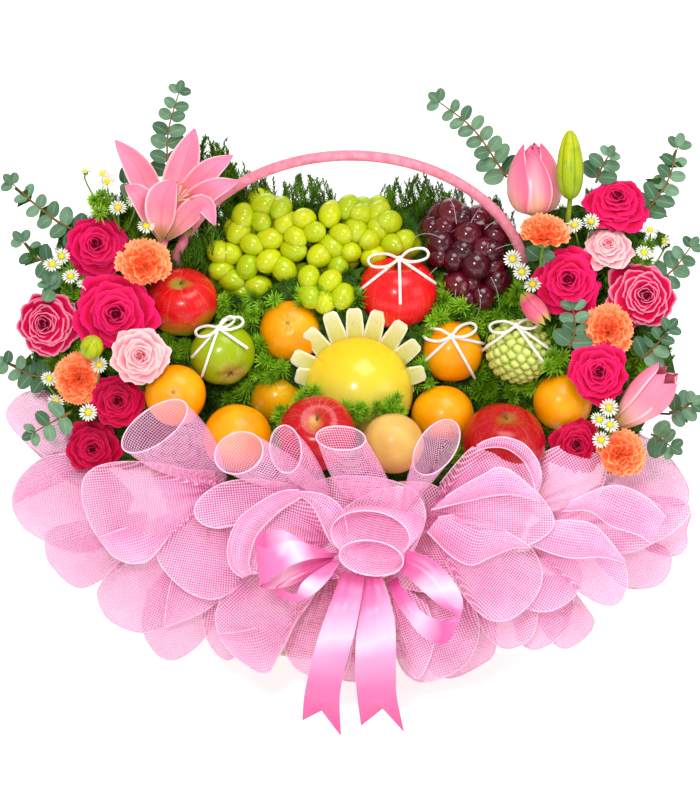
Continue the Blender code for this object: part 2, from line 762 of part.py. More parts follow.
def build_lily():
    """Open six-petalled lily with a stem."""
    finish = material("lily_pink", (250, 150, 180), 0.45)
    base = on_face(-200, 172, 50)
    throat = on_face(-186, 214, 84)
    tips = (
        (-256, 277, 96), (-169, 288, 84), (-128, 262, 100), (-122, 232, 118), (-149, 184, 124),
        (-244, 230, 116),
    )
    pieces = [tube("stem", (base + (base - throat) * 0.9, base.lerp(throat, 0.5)), 0.006, resolution=1)]
    for tip in tips:
        end = on_face(*tip)
        bend = throat.lerp(end, 0.25) + (throat - base) * 0.25
        grid = blade(base, bend, end, 0.0155, throat + OUTWARD * 0.03 - base, 40, root=0.35, peak=0.55)
        pieces.append(sheet("petal", grid, 0.0024))
    return [fuse("lily", pieces, finish, keep=0.7)]


def spindle(radius, length, sides, bands, lobes=0, wave=0.0, widest=0.45):
    """A bud that is widest part of the way up and comes to a point."""
    rings = []
    for ring in range(bands + 1):
        share = 1 - ring / bands
        if share > widest:
            swell = math.cos((share - widest) / (1 - widest) * math.pi / 2) ** 0.8
        else:
            swell = math.sin((share / widest) * math.pi / 2) ** 0.6
        rings.append((radius * swell if 0 < ring < bands else 0.0, length * share))
    return turned("bud", rings, sides, lobes, wave)


def build_buds():
    """Tulip, lily buds and small rose buds, each on its stem."""
    wanted = {
        "tulip": ((207, 197, 34), (196, 276, 54), 30, (250, 170, 189), 12, 6, 0.06),
        "lily_bud": ((241, 216, 66), (241, 286, 74), 14.5, (205, 205, 30), 6, 0, 0.0),
        "lily_opening": ((288, -40, 62), (350, 26, 76), 21, (245, 130, 160), 9, 3, 0.08),
        "rose_bud": ((196, 112, 66), (214, 84, 84), 10, (225, 170, 150), 6, 0, 0.0),
        "green_bud": ((-282, 45, 98), (-282, 55, 117), 10, (170, 200, 50), 7, 0, 0.0),
    }
    made = []
    for name, (low, high, radius, colour, sides, lobes, wave) in wanted.items():
        base = on_face(*low)
        tip = on_face(*high)
        direction = (tip - base).normalized()
        mesh = spindle(radius * MM, (tip - base).length, sides, 6, lobes, wave)
        bud = add_object(name + "_bloom", mesh, None, base, direction)
        into = (base - FOCUS).normalized() * 0.5 + direction * 0.5
        stem = tube("stem", (base + direction * 0.006, base - into * 0.055), 0.0032, resolution=0)
        made.append(fuse(name, [bud, stem], material(name, colour, 0.45)))
    return made


def surface_path(centre, radius, start, end, steps):
    """Points over a ball from one direction to another."""
    return [centre + start.slerp(end, step / steps) * radius for step in range(steps + 1)]


def build_ties():
    """White strings over four fruits, each with a knot, two loops and three ends."""
    finish = material("white_string", (248, 246, 242), 0.6)
    made = []
    for name, (knot, loops, ends) in TIES.items():
        right, up, out, size, _ = TIED_FRUIT[name]
        centre = on_face(right, up, out)
        radius = size * MM / 2 + STRING_RADIUS + 2 * GAP

        def over(offset):
            x, y = offset
            away = math.sqrt(max(9.0, (size / 2) ** 2 - x * x - y * y))
            return (RIGHT * x + UPWARD * y + OUTWARD * away).normalized()

        tie_way = over(knot)
        tie = centre + tie_way * (radius + 0.002)
        shape = bmesh.new()
        bmesh.ops.create_icosphere(shape, subdivisions=1, radius=STRING_RADIUS * 2.2)
        pieces = [add_object("knot", mesh_of("knot", shape), None, tie)]
        for x, y in loops:
            reach = on_face(right + x, up + y, out) + OUTWARD * ((tie - centre).dot(OUTWARD) + 0.004)
            side = (reach - tie).cross(OUTWARD).normalized() * (reach - tie).length * 0.28
            lift = tie_way * 0.005
            points = []
            for step in range(4):
                angle = 2 * math.pi * step / 4 + math.pi
                points.append(tie.lerp(reach, (1 + math.cos(angle)) / 2) + side * math.sin(angle) + lift)
            points[0] = tie
            points.append(tie)
            pieces.append(tube("loop", points, STRING_RADIUS, resolution=0))
        for end in ends:
            path = surface_path(centre, radius, tie_way, over(end), 3)
            pieces.append(tube("end", path, STRING_RADIUS, resolution=0))
        made.append(fuse(name, pieces, finish, keep=0.8))
    return made


def mesh_petals(table):
    pieces = []
    for root, tip, half_width, curl, swell in table:
        start = rim_point(root)
        end = on_face(*tip)
        bend = start.lerp(end, 0.5) + OUTWARD * swell * 2 * MM
        facing = OUTWARD + UPWARD * 0.3
        grid = blade(start, bend, end, half_width * MM, facing, curl * FLATTER, root=0.1, columns=1)
        pieces.append(sheet("petal", grid, MESH_THICKNESS))
    return pieces


def mesh_loops(table):
    pieces = []
    for root, mouth, half_long, half_short, turn, look in table:
        rings = horn(rim_point(root), on_face(*mouth), half_long, half_short, turn, look)
        pieces.append(sheet("loop", rings, MESH_THICKNESS, closed=True))
    return pieces


def gather_band(first, last):
    """The gathered edge that runs along the rim behind the petals."""
    points = [rim_point(first + (last - first) * step / 6) for step in range(7)]
    return tube("gather", points, GATHER_RADIUS, resolution=1)


def trim(obj, neighbours):
    """Cuts room for its neighbours out of the object."""
    boolean_with(obj, neighbours, "DIFFERENCE", "MANIFOLD")
    keep_largest_part(obj.data)
    return obj


def build_skirt(neighbours):
    """Pink mesh: petals on both sides, rolled loops above them and a rosette in the middle."""
    finish = material("pink_mesh", (243, 180, 215), 0.6)
    everything = [gather_band(-200, 200)]
    everything += mesh_petals(SKIRT_LEFT) + mesh_petals(SKIRT_RIGHT) + mesh_petals(SIDE_PETALS)
    everything += mesh_loops(RUFFLE) + mesh_loops(ROSETTE)
    skirt = fuse("mesh_skirt", everything, finish, keep=0.52)
    return trim(skirt, [clearance(obj) for obj in neighbours])


def ribbon_loop(start, reach, back, near_way, far_way, steps=7):
    """A ribbon that leaves the knot gathered, turns at its far end and comes back below itself."""
    grid = []
    for step in range(steps + 1):
        share = step / steps
        away = math.sin(share * math.pi) ** 0.8
        sideways = (share - 0.5) * 2
        point = start.lerp(reach, away) + back * sideways * (0.35 + 0.65 * math.sin(share * math.pi))
        way = (near_way.lerp(far_way, away) + OUTWARD * sideways * 0.3).normalized()
        half = way * SATIN_WIDTH * MM / 2 * (0.25 + 0.75 * away)
        grid.append((point - half, point + half))
    return sheet("ribbon", grid, SATIN_THICKNESS)


def ribbon_tail(start, bend, tip, notch):
    """A ribbon that falls from the knot to a notched end."""
    steps = 4
    grid = []
    for step in range(steps + 1):
        share = step / steps
        middle = bezier(start, bend, tip, share)
        half = RIGHT * SATIN_WIDTH * MM / 2 * (0.4 + 0.6 * min(1, share * 2))
        fall = UPWARD * (notch if step == steps else 0) * MM
        grid.append((middle - half, middle + fall, middle + half))
    return sheet("ribbon", grid, SATIN_THICKNESS)


def build_satin_bow():
    """Satin bow: loops to both sides and two long tails with notched ends."""
    finish = material("pink_satin", (240, 140, 185), 0.25)
    knot = on_face(*BOW_KNOT)
    shape = bmesh.new()
    bmesh.ops.create_icosphere(shape, subdivisions=1, radius=0.013)
    pieces = [add_object("knot", mesh_of("knot", shape), None, knot)]
    for reach, back, near_way, far_way in BOW_LOOPS:
        sag = face_direction(*back) * 0.013
        ways = (face_direction(*near_way), face_direction(*far_way))
        pieces.append(ribbon_loop(knot, on_face(*reach), sag, *ways))
    for bend, tip, notch in BOW_TAILS:
        pieces.append(ribbon_tail(knot, on_face(*bend), on_face(*tip), notch))
    return [fuse("satin_bow", pieces, finish)]


def lens(radius, thickness, sides):
    """A round leaf or flower head: two shallow cones, edge to edge."""
    shape = bmesh.new()
    bmesh.ops.create_uvsphere(shape, u_segments=sides, v_segments=2, radius=1)
    bmesh.ops.scale(shape, vec=(radius, radius, thickness), verts=shape.verts)
    return mesh_of("lens", shape)


def build_sprigs():
    """Stems of round leaves that stand out of the side flowers."""
    pieces = []
    for start, end, pairs in SPRIGS:
        low = on_face(*start)
        high = on_face(*end)
        into = low + (FOCUS - low).normalized() * 0.05
        pieces.append(tube("stem", (into, low, high), 0.0013, resolution=0))
        along = (high - low).normalized()
        for pair in range(pairs):
            share = (pair + 0.5) / pairs
            size = LEAF_RADIUS * MM * (1.1 - 0.45 * share)
            leaves = add_object("leaves", lens(size, 0.0018, 4), None, low.lerp(high, share))
            across = (OUTWARD + along * 0.4 * (-1) ** pair).normalized().cross(along)
            leaves.rotation_euler = Matrix((across, along, across.cross(along))).transposed().to_euler()
            leaves.scale = (1.9, 0.95, 1)
            pieces.append(leaves)
    return pieces


def build_tufts():
    """Plumes of fern that stand up behind the grapes, and clumps between the fruit."""
    pieces = []
    for right, up, out, height in PLUMES:
        shape = bmesh.new()
        length = height * MM
        bmesh.ops.create_cone(shape, cap_ends=True, segments=5, radius1=0.015, radius2=0.005, depth=length)
        way = face_direction(right * 0.002, 1, 0)
        place = on_face(right, up, out) - way * length * 0.5
        pieces.append(add_object("plume", mesh_of("plume", shape), None, place, way))
    for right, up, out, radius in CLUMPS:
        shape = bmesh.new()
        bmesh.ops.create_icosphere(shape, subdivisions=1, radius=radius * MM)
        pieces.append(add_object("clump", mesh_of("clump", shape), None, on_face(right, up, out)))
    return pieces


def build_daisies():
    """Small round flower heads on thin stalks."""
    pieces = []
    profile = ((0, 0.001), (DAISY_RADIUS * MM, 0), (0.0015, -0.003), (0, -0.07))
    for right, up, out in DAISIES:
        place = on_face(right, up, out)
        pieces.append(add_object("daisy", turned("daisy", profile, 5), None, place, flower_pointing(place)))
    return pieces


def build_bed(others, open_forms):
    """Moss: a plug in the tub, a leaning mound, side pads, tufts, daisies and sprigs, cut to fit."""
    finish = material("fern_green", (107, 144, 30), 0.8)
    pieces = []
    plug = bmesh.new()
    slope = (RIM_HALF_DEPTH - BASE_HALF_DEPTH) / RIM_HEIGHT
    low_z = FLOOR_THICKNESS + GAP
    high_z = RIM_HEIGHT + 0.02
    low = BASE_HALF_DEPTH + slope * low_z - WALL - 2 * GAP
    high = RIM_HALF_DEPTH + slope * (high_z - RIM_HEIGHT) - WALL - 3 * GAP - 0.004
    bmesh.ops.create_cone(plug, cap_ends=True, segments=20, radius1=low, radius2=high, depth=high_z - low_z)
    bmesh.ops.scale(plug, vec=(OVAL, 1, 1), verts=plug.verts)
    pieces.append(add_object("plug", mesh_of("plug", plug), place=(0, 0, (low_z + high_z) / 2)))
    to_face = Matrix((RIGHT, UPWARD, OUTWARD)).transposed().to_euler()
    heaps = [(on_face(*place), Vector(half) * MM, to_face) for place, half in MOUNDS]
    heaps.append((HEAP_MIDDLE, HEAP_HALF_SIZES, (0, 0, 0)))
    for place, half, turn in heaps:
        shape = bmesh.new()
        bmesh.ops.create_uvsphere(shape, u_segments=12, v_segments=6, radius=1)
        mound = add_object("mound", mesh_of("mound", shape), None, place)
        mound.rotation_euler = turn
        mound.scale = half
        pieces.append(mound)
    round_fruit = {**APPLES, **ORANGES, "sugar_apple": SUGAR_APPLE}
    for name in ("apple_front", "apple_right", "orange_front", "orange_left", "pale_pear", "green_apple"):
        right, up, out, size, _ = round_fruit[name]
        shape = bmesh.new()
        bmesh.ops.create_icosphere(shape, subdivisions=1, radius=size * 0.4 * MM)
        place = on_face(right, up - size * 0.1, out - size * 0.5)
        pieces.append(add_object("support", mesh_of("support", shape), None, place))
    bed = fuse("moss_bed", pieces + build_tufts(), finish, keep=0.2)
    boolean_with(bed, [plain(piece) for piece in build_sprigs() + build_daisies()], "UNION", "MANIFOLD")
    cutters = [clearance(obj) for obj in others]
    for right, up, out, size, _ in round_fruit.values():
        cutters.append(ball_clearance(on_face(right, up, out), size * MM / 2))
    for right, up, out, size in list(ROSES.values()) + list(CARNATIONS.values()):
        cutters.append(cone_clearance(on_face(right, up, out), size * MM / 2))
    cutters += [clearance(obj, hull=False) for obj in open_forms]
    cutters.append(add_cutter("skirt_cutter", applied(open_forms[-1])))
    return trim(bed, cutters)


def build():
    open_forms = [build_basket(), build_handle()]
    fruit = build_fruit()
    flowers = build_flower_heads()
    shaped = build_melon() + build_lily() + build_buds()
    green = grape_bunch("grapes_green", GREEN_ROWS, GRAPE_RADIUS, 26, (190, 203, 20), 3, 0.8)
    shaped.append(trim(green, [clearance(obj) for obj in fruit if obj.name in ("red_apple", "orange_top")]))
    shaped.append(grape_bunch("grapes_purple", PURPLE_ROWS, PURPLE_RADIUS, 24, (78, 14, 26), 3, 0.95))
    open_forms += build_ties()
    open_forms.append(build_skirt(fruit + flowers))
    build_bed(shaped, open_forms)
    build_satin_bow()


build()
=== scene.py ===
"""Looks of the fruit gift basket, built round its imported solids.

Places repeat the solids' own layout: millimetres to the right, up and out of the leaning display
face. Every visible piece is gathered from many small forms into one mesh.
"""

import math
import random

import bpy
import numpy as np
from mathutils import Matrix, Vector
from mathutils.bvhtree import BVHTree


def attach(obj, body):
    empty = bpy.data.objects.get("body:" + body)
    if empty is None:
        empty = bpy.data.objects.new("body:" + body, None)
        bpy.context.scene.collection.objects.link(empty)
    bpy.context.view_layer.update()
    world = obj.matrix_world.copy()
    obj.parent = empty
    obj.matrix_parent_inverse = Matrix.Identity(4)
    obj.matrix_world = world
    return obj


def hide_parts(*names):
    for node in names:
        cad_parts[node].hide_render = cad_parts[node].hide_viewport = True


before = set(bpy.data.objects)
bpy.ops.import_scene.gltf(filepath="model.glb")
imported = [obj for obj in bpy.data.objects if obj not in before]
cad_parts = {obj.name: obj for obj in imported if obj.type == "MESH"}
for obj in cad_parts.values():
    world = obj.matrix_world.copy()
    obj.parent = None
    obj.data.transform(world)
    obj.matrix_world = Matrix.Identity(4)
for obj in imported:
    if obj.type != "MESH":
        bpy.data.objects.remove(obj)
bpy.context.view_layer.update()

MM = 0.001
LEAN = math.radians(28)
FACE_HEIGHT = 0.2775
RIGHT = np.array((1.0, 0.0, 0.0))
UPWARD = np.array((0.0, math.sin(LEAN), math.cos(LEAN)))
OUTWARD = np.array((0.0, -math.cos(LEAN), math.sin(LEAN)))
TO_FACE = np.stack((RIGHT, UPWARD, OUTWARD))

# The turn from one petal or needle to the next (radians).
GOLDEN_TURN = 2.39996
# The basket: how much wider than deep it is, and half its depth at the rim and base (m).
OVAL = 1.46
RIM_HALF_DEPTH = 0.145
BASE_HALF_DEPTH = 0.106

# Each fruit: right, up, out, diameter (mm) and where its stem end points (right, up, out).
APPLES = {
    "apple_left": (-184, 100, 50, 78, (-0.08, 0.72, 0.69)),
    "apple_front": (-36, -44, 123, 84, (0.0, 0.5, 0.87)),
    "apple_right": (168, -55, 84, 92, (0.12, 0.8, 0.58)),
    "red_apple": (52, 110, 44, 87, (0.0, 0.9, 0.4)),
    "green_apple": (-139, 43, 67, 71, (-0.3, 0.75, -0.58)),
}
ORANGES = {
    "orange_top": (-65, 69, 44, 70, (-0.09, 0.28, 0.95)),
    "orange_left": (-191, -1, 86, 67, (-0.05, 0.11, 0.99)),
    "orange_front": (-123, -48, 92, 76, (0.2, 0.9, -0.4)),
    "orange_tied": (111, 47, 40, 70, (0.0, 0.95, -0.3)),
    "orange_middle": (102, -24, 48, 69, (0.1, 0.9, -0.4)),
    "orange_right": (233, -9, 47, 65, (0.1, 0.95, -0.3)),
    "mandarin": (-79, -4, 24, 62, (0.2, 0.9, -0.35)),
    "pale_pear": (47, -54, 109, 68, (0.1, 0.9, -0.4)),
}
SUGAR_APPLE = (185, 46, 46, 75, (0.0, 0.8, 0.5))
MELON = (9, 3, 42, 121)


def on_face(right, up, out=0.0):
    """The point that many millimetres right, up and out on the display face."""
    return np.array((0, 0, FACE_HEIGHT)) + (RIGHT * right + UPWARD * up + OUTWARD * out) * MM


def unit(vector):
    return vector / max(1e-12, np.linalg.norm(vector))


def unit_rows(vectors):
    """Each row of the vectors, at length one."""
    return vectors / np.maximum(1e-12, np.linalg.norm(vectors, axis=-1, keepdims=True))


def face_direction(right, up, out):
    return unit(RIGHT * right + UPWARD * up + OUTWARD * out)


def axes_to(direction, spin=0.0):
    """Three rows: axes whose third points in the direction, turned about it by spin."""
    forward = unit(np.asarray(direction, float))
    helper = np.array((0.0, 0.0, 1.0)) if abs(forward[2]) < 0.9 else np.array((0.0, 1.0, 0.0))
    side = unit(np.cross(helper, forward))
    over = np.cross(forward, side)
    first = side * math.cos(spin) + over * math.sin(spin)
    return np.stack((first, np.cross(forward, first), forward))


def spoke(axes, angle):
    """The direction at an angle round the third axis, counted from the first to the second."""
    return axes[0] * math.cos(angle) + axes[1] * math.sin(angle)


def sphere_way(polar, around):
    """Directions a polar angle away from the third axis and an angle round it."""
    return np.stack((np.sin(polar) * np.cos(around), np.sin(polar) * np.sin(around), np.cos(polar) + 0 * around), -1)


def linear(channel):
    share = channel / 255
    return share / 12.92 if share <= 0.04045 else ((share + 0.055) / 1.055) ** 2.4


def rgb(*colour):
    return tuple(linear(channel) for channel in colour) + (1.0,)


def bed_surface():
    """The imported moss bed: its corners, its triangles and a tree to find its face with."""
    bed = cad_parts["moss_bed"].data
    corners = np.zeros(len(bed.vertices) * 3)
    bed.vertices.foreach_get("co", corners)
    corners = corners.reshape(-1, 3)
    bed.calc_loop_triangles()
    faces = np.array([triangle.vertices[:] for triangle in bed.loop_triangles])
    return corners, faces, BVHTree.FromPolygons(corners.tolist(), faces.tolist())


BED_CORNERS, BED_FACES, BED_TREE = bed_surface()


def bed_depth(right, up):
    """How far out (mm) the moss stands at a place on the display face, or None beside it."""
    found = BED_TREE.ray_cast(Vector(on_face(right, up, 300)), Vector(-OUTWARD))[0]
    return None if found is None else 300 - (Vector(on_face(right, up, 300)) - found).length / MM


def seat(right, up, out, size, facing, spin=0.0):
    """The middle, radius (m) and axes of a round form with its place and diameter in mm."""
    return on_face(right, up, out), size * MM / 2, axes_to(face_direction(*facing), spin)


def placed(name, data):
    """A new object, linked into the scene."""
    thing = bpy.data.objects.new(name, data)
    bpy.context.scene.collection.objects.link(thing)
    return thing


def shades_of(points, first=0.0, second=0.0, third=0.0):
    """A shade for each of the rows of points: its three numbers, each spread over them all."""
    return np.stack([np.broadcast_to(value, points.shape[:2]) for value in (first, second, third)], -1)


class Heap:
    """Points, faces and shades gathered from many small forms into one mesh.

    Each point carries a shade of three numbers that its finish reads, such as the share along a
    petal, the share across it, and a number drawn for the petal.
    """

    def __init__(self):
        self.points, self.shades, self.quads, self.triangles = [], [], [], []
        self.count = 0

    def add(self, points, shades):
        """Takes in the points with their shades and gives the index of the first."""
        start = self.count
        points = np.asarray(points, float).reshape(-1, 3)
        self.points.append(points)
        self.shades.append(np.broadcast_to(np.asarray(shades, float), (len(points), 3)).copy())
        self.count += len(points)
        return start

    def fan(self, ring, middle):
        """Triangles from each step of the ring to the middle point."""
        self.triangles.append(np.stack((ring[:-1], ring[1:], np.full(len(ring) - 1, middle)), -1))

    def grid(self, points, shades=(0, 0, 0), wrap=False, caps=False):
        """A sheet of rows of points, joined round on itself if wrap, closed at its ends if caps."""
        rows, columns = points.shape[:2]
        shades = np.asarray(shades, float).reshape(-1, 3)
        index = self.add(points, shades) + np.arange(rows * columns).reshape(rows, columns)
        if wrap:
            index = np.concatenate((index, index[:, :1]), axis=1)
        corners = (index[:-1, :-1], index[:-1, 1:], index[1:, 1:], index[1:, :-1])
        self.quads.append(np.stack(corners, -1).reshape(-1, 4))
        if caps:
            for row, order in ((0, -1), (-1, 1)):
                self.fan(index[row][::order], self.add(points[row].mean(axis=0), shades[row]))

    def ball(self, centre, profile, sides, axes, number=0.0, wave=None):
        """A turned form: (radius, height) rings from its top to its base, poles closed."""
        around = np.linspace(0, 2 * np.pi, sides, endpoint=False)
        profile = np.asarray(profile, float)
        radius, height = (column[1:-1, None] * np.ones(sides) for column in profile.T)
        if wave is not None:
            radius, height = wave(radius, height, around[None, :])
        rings = np.stack((radius * np.cos(around), radius * np.sin(around), height), -1) @ axes + centre
        share = np.linspace(0, 1, len(profile))
        index = self.count + np.arange(len(rings) * sides).reshape(-1, sides)
        self.grid(rings, shades_of(rings, share[1:-1, None], np.abs(around / np.pi - 1), number), wrap=True)
        for row, order in ((0, -1), (-1, 1)):
            pole = self.add(np.array((0, 0, profile[row, 1])) @ axes + centre, (share[row], 0.5, number))
            self.fan(np.append(index[row], index[row][0])[::order], pole)

    def tube(self, path, radius, sides=6, number=0.0, closed=True):
        """A round bar along the path; radius may change along it."""
        path = np.asarray(path, float)
        count = len(path)
        radius = np.broadcast_to(np.asarray(radius, float), (count,))
        along = unit_rows(np.gradient(path, axis=0))
        over = np.zeros((count, 3))
        start = np.array((0.0, 0.0, 1.0)) if abs(along[0][2]) < 0.9 else np.array((1.0, 0.0, 0.0))
        over[0] = unit(start - along[0] * start.dot(along[0]))
        for i in range(1, count):
            over[i] = unit(over[i - 1] - along[i] * over[i - 1].dot(along[i]))
        side = np.cross(along, over)
        around = np.linspace(0, 2 * np.pi, sides, endpoint=False)[:, None]
        ring = over[:, None] * np.cos(around) + side[:, None] * np.sin(around)
        points = path[:, None] + ring * radius[:, None, None]
        self.grid(points, shades_of(points, np.linspace(0, 1, count)[:, None], 0, number), wrap=True, caps=closed)

    def stamp(self, form, centre, axes, size, number):
        """A copy of another heap at the centre, with its own axes, size and number."""
        points, shades, quads, triangles = form.arrays()
        shades[:, 2] = number
        start = self.add((points * size) @ axes + centre, shades)
        self.quads.append(quads + start)
        self.triangles.append(triangles + start)

    def arrays(self):
        quads = np.concatenate([np.zeros((0, 4), int)] + self.quads)
        triangles = np.concatenate([np.zeros((0, 3), int)] + self.triangles)
        return np.concatenate(self.points), np.concatenate(self.shades), quads, triangles

    def make(self, name, finish, slot=None, replaced=()):
        """The gathered mesh as one piece that rides on the basket."""
        points, shades, quads, triangles = self.arrays()
        mesh = bpy.data.meshes.new(name)
        mesh.from_pydata(points.tolist(), [], quads.tolist() + triangles.tolist())
        mesh.polygons.foreach_set("use_smooth", np.ones(len(mesh.polygons), bool))
        mesh.attributes.new("grain", "FLOAT_VECTOR", "POINT").data.foreach_set("vector", shades.ravel())
        mesh.materials.append(finish.material)
        mesh.update()
        piece = placed(name, mesh)
        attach(piece, "root")
        if replaced:
            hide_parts(*replaced)
        return piece


class Finish:
    """A Principled material built from a few named steps."""

    def __init__(self, name, **values):
        self.material = bpy.data.materials.new(name)
        self.material.use_nodes = True
        self.tree = self.material.node_tree
        self.shader = self.tree.nodes["Principled BSDF"]
        self.set("Specular IOR Level", 0.28)
        for key, value in values.items():
            self.set(key.replace("_", " ").title().replace("Ior", "IOR"), value)

    def feed(self, target, value):
        """Links another node's output to the target, or sets the target to a constant."""
        if isinstance(value, bpy.types.NodeSocket):
            self.tree.links.new(value, target)
        else:
            target.default_value = value

    def set(self, socket, value):
        self.feed(self.shader.inputs[socket], value)

    def new(self, kind, *inputs, output=0, **settings):
        node = self.tree.nodes.new("ShaderNode" + kind)
        for key, value in settings.items():
            setattr(node, key, value)
        for target, value in zip(node.inputs, inputs):
            self.feed(target, value)
        return node.outputs[output]

    def grain(self, axis):
        """One of the three numbers that each point carries."""
        return self.new("SeparateXYZ", self.new("Attribute", attribute_name="grain", output=1), output=axis)

    def place(self):
        return self.new("TexCoord", output=3)

    def texture(self, kind, vector, output, **values):
        node = self.tree.nodes.new("ShaderNodeTex" + kind)
        for key, value in values.items():
            node.inputs[key].default_value = value
        self.tree.links.new(vector or self.place(), node.inputs["Vector"])
        return node.outputs[output]

    def noise(self, scale, detail=2.0, rough=0.5, vector=None, distortion=0.0):
        return self.texture("Noise", vector, 0, Scale=scale, Detail=detail, Roughness=rough, Distortion=distortion)

    def voronoi(self, scale):
        return self.texture("Voronoi", None, "Distance", Scale=scale)

    def streaks(self, detail, rough, *runs):
        """Noise drawn out along the grain: three pairs of one of its numbers and how fast it runs."""
        runs = [self.math("MULTIPLY", self.grain(axis), speed) for axis, speed in runs]
        return self.noise(1.0, detail, rough, self.new("CombineXYZ", *runs))

    def ramp(self, share, *stops):
        """Colour along the share: pairs of (place, colour)."""
        node = self.tree.nodes.new("ShaderNodeValToRGB")
        elements = node.color_ramp.elements
        while len(elements) < len(stops):
            elements.new(0.5)
        for element, (place, colour) in zip(elements, stops):
            element.position = place
            element.color = rgb(*colour)
        self.tree.links.new(share, node.inputs[0])
        return node.outputs[0]

    def span(self, value, low, high, to_low=0.0, to_high=1.0):
        return self.new("MapRange", value, low, high, to_low, to_high)

    def math(self, operation, first, second=0.0):
        return self.new("Math", first, second, operation=operation)

    def mix(self, share, first, second):
        """From the first colour to the second by the share."""
        node = self.tree.nodes.new("ShaderNodeMix")
        node.data_type = "RGBA"
        for place, value in ((0, share), (6, first), (7, second)):
            self.feed(node.inputs[place], rgb(*value) if isinstance(value, tuple) else value)
        return node.outputs[2]

    def over(self, tone, colour, value, low, high, to_low=0.0, to_high=1.0):
        """The tone, with the colour over it by as much as the value makes of its span."""
        return self.mix(self.span(value, low, high, to_low, to_high), tone, colour)

    def bump(self, height, strength, distance):
        node = self.tree.nodes.new("ShaderNodeBump")
        node.inputs["Strength"].default_value = strength
        node.inputs["Distance"].default_value = distance
        self.tree.links.new(height, node.inputs["Height"])
        self.set("Normal", node.outputs[0])


def plain_finish(name, roughness, first, second, scale, detail=2.0):
    """Two shades of a colour in soft patches."""
    made = Finish(name, roughness=roughness)
    made.set("Base Color", made.mix(made.noise(scale, detail), first, second))
    return made


def apple_finish(name, top, main, low, streak, low_from, low_to):
    """Waxy skin, streaked from the stem, with pale specks."""
    made = Finish(name, roughness=0.26, coat_weight=0.14, coat_roughness=0.1, subsurface_weight=0.06,
                  subsurface_radius=(0.006, 0.002, 0.001), subsurface_scale=0.4)
    uneven = made.math("MULTIPLY", made.math("SUBTRACT", made.noise(45, 3), 0.5), 0.35)
    colour = made.ramp(
        made.math("ADD", made.grain(0), uneven), (0.0, top), (0.09, main), (low_from, main), (low_to, low),
    )
    streaked = made.ramp(made.grain(0), (0.0, top), (0.35, streak), (1.0, low))
    lines = made.streaks(4, 0.6, (1, 34.0), (0, 2.2), (2, 30.0))
    colour = made.over(colour, streaked, lines, 0.52, 0.78, 0.0, 0.6)
    made.set("Base Color", made.over(colour, (246, 205, 150), made.voronoi(420), 0.08, 0.17, 0.3, 0.0))
    made.bump(made.noise(420, 2), 0.06, 0.0004)
    return made


def citrus_finish(name, main, dark, pore=1.0, roughness=0.3):
    """Dimpled peel, a little darker in patches, paler round the button."""
    made = Finish(name, roughness=roughness, coat_weight=0.12, coat_roughness=0.16, subsurface_weight=0.1,
                  subsurface_radius=(0.006, 0.003, 0.001), subsurface_scale=0.5)
    pits = made.span(made.voronoi(560), 0.0, 0.42)
    colour = made.over(main, dark, made.noise(38, 3), 0.35, 0.7)
    colour = made.mix(made.math("MULTIPLY", made.math("SUBTRACT", 1.0, pits), 0.3), colour, dark)
    made.set("Base Color", made.over(colour, (222, 190, 90), made.grain(0), 0.0, 0.05, 0.55, 0.0))
    made.bump(made.math("ADD", pits, made.math("MULTIPLY", made.noise(130, 2), 0.8)), 0.35 * pore, 0.0006)
    return made


def ball_profile(radius, bands, stem_dip=0.0, base_dip=0.0, squash=1.0, taper=0.0):
    """Rings of a fruit from its stem end to its base, with a dimple at each end."""
    angle = np.linspace(0, np.pi, bands + 1)
    height = squash * np.cos(angle) - stem_dip * np.exp(-((angle / 0.36) ** 2))
    height += base_dip * np.exp(-(((np.pi - angle) / 0.36) ** 2))
    across = np.sin(angle) * (1 + taper * np.cos(angle))
    return np.stack((radius * across, radius * height), -1)


def oval_profile(width, height, steps=9, fullness=1.0):
    """Rings of an oval form from its top to its base."""
    angle = np.linspace(0, np.pi, steps)
    return np.stack((width * np.sin(angle) ** fullness, height * np.cos(angle)), -1)


STEM_BROWN = plain_finish("stem_brown", 0.7, (92, 62, 30), (142, 112, 60), 600, 3)
STEM_BROWN.bump(STEM_BROWN.noise(900, 2), 0.4, 0.0004)
# Each apple's skin: its colour at the top, in the middle and low, its streaks, and from where to
# where the middle turns into the low colour.
APPLE_SKINS = {
    "apple_left": ("skin_left", (140, 146, 40), (206, 8, 20), (160, 150, 34), (240, 84, 30), 0.4, 0.68),
    "apple_front": ("skin_front", (196, 140, 60), (184, 0, 22), (150, 4, 22), (206, 50, 60), 0.7, 0.95),
    "apple_right": ("skin_right", (160, 110, 40), (176, 0, 18), (140, 2, 18), (200, 26, 40), 0.7, 0.95),
    "red_apple": ("skin_bow", (190, 40, 30), (226, 18, 24), (206, 130, 84), (236, 66, 50), 0.66, 0.95),
    "green_apple": ("skin_green", (140, 158, 24), (150, 172, 2), (196, 160, 84), (170, 186, 22), 0.8, 0.97),
}


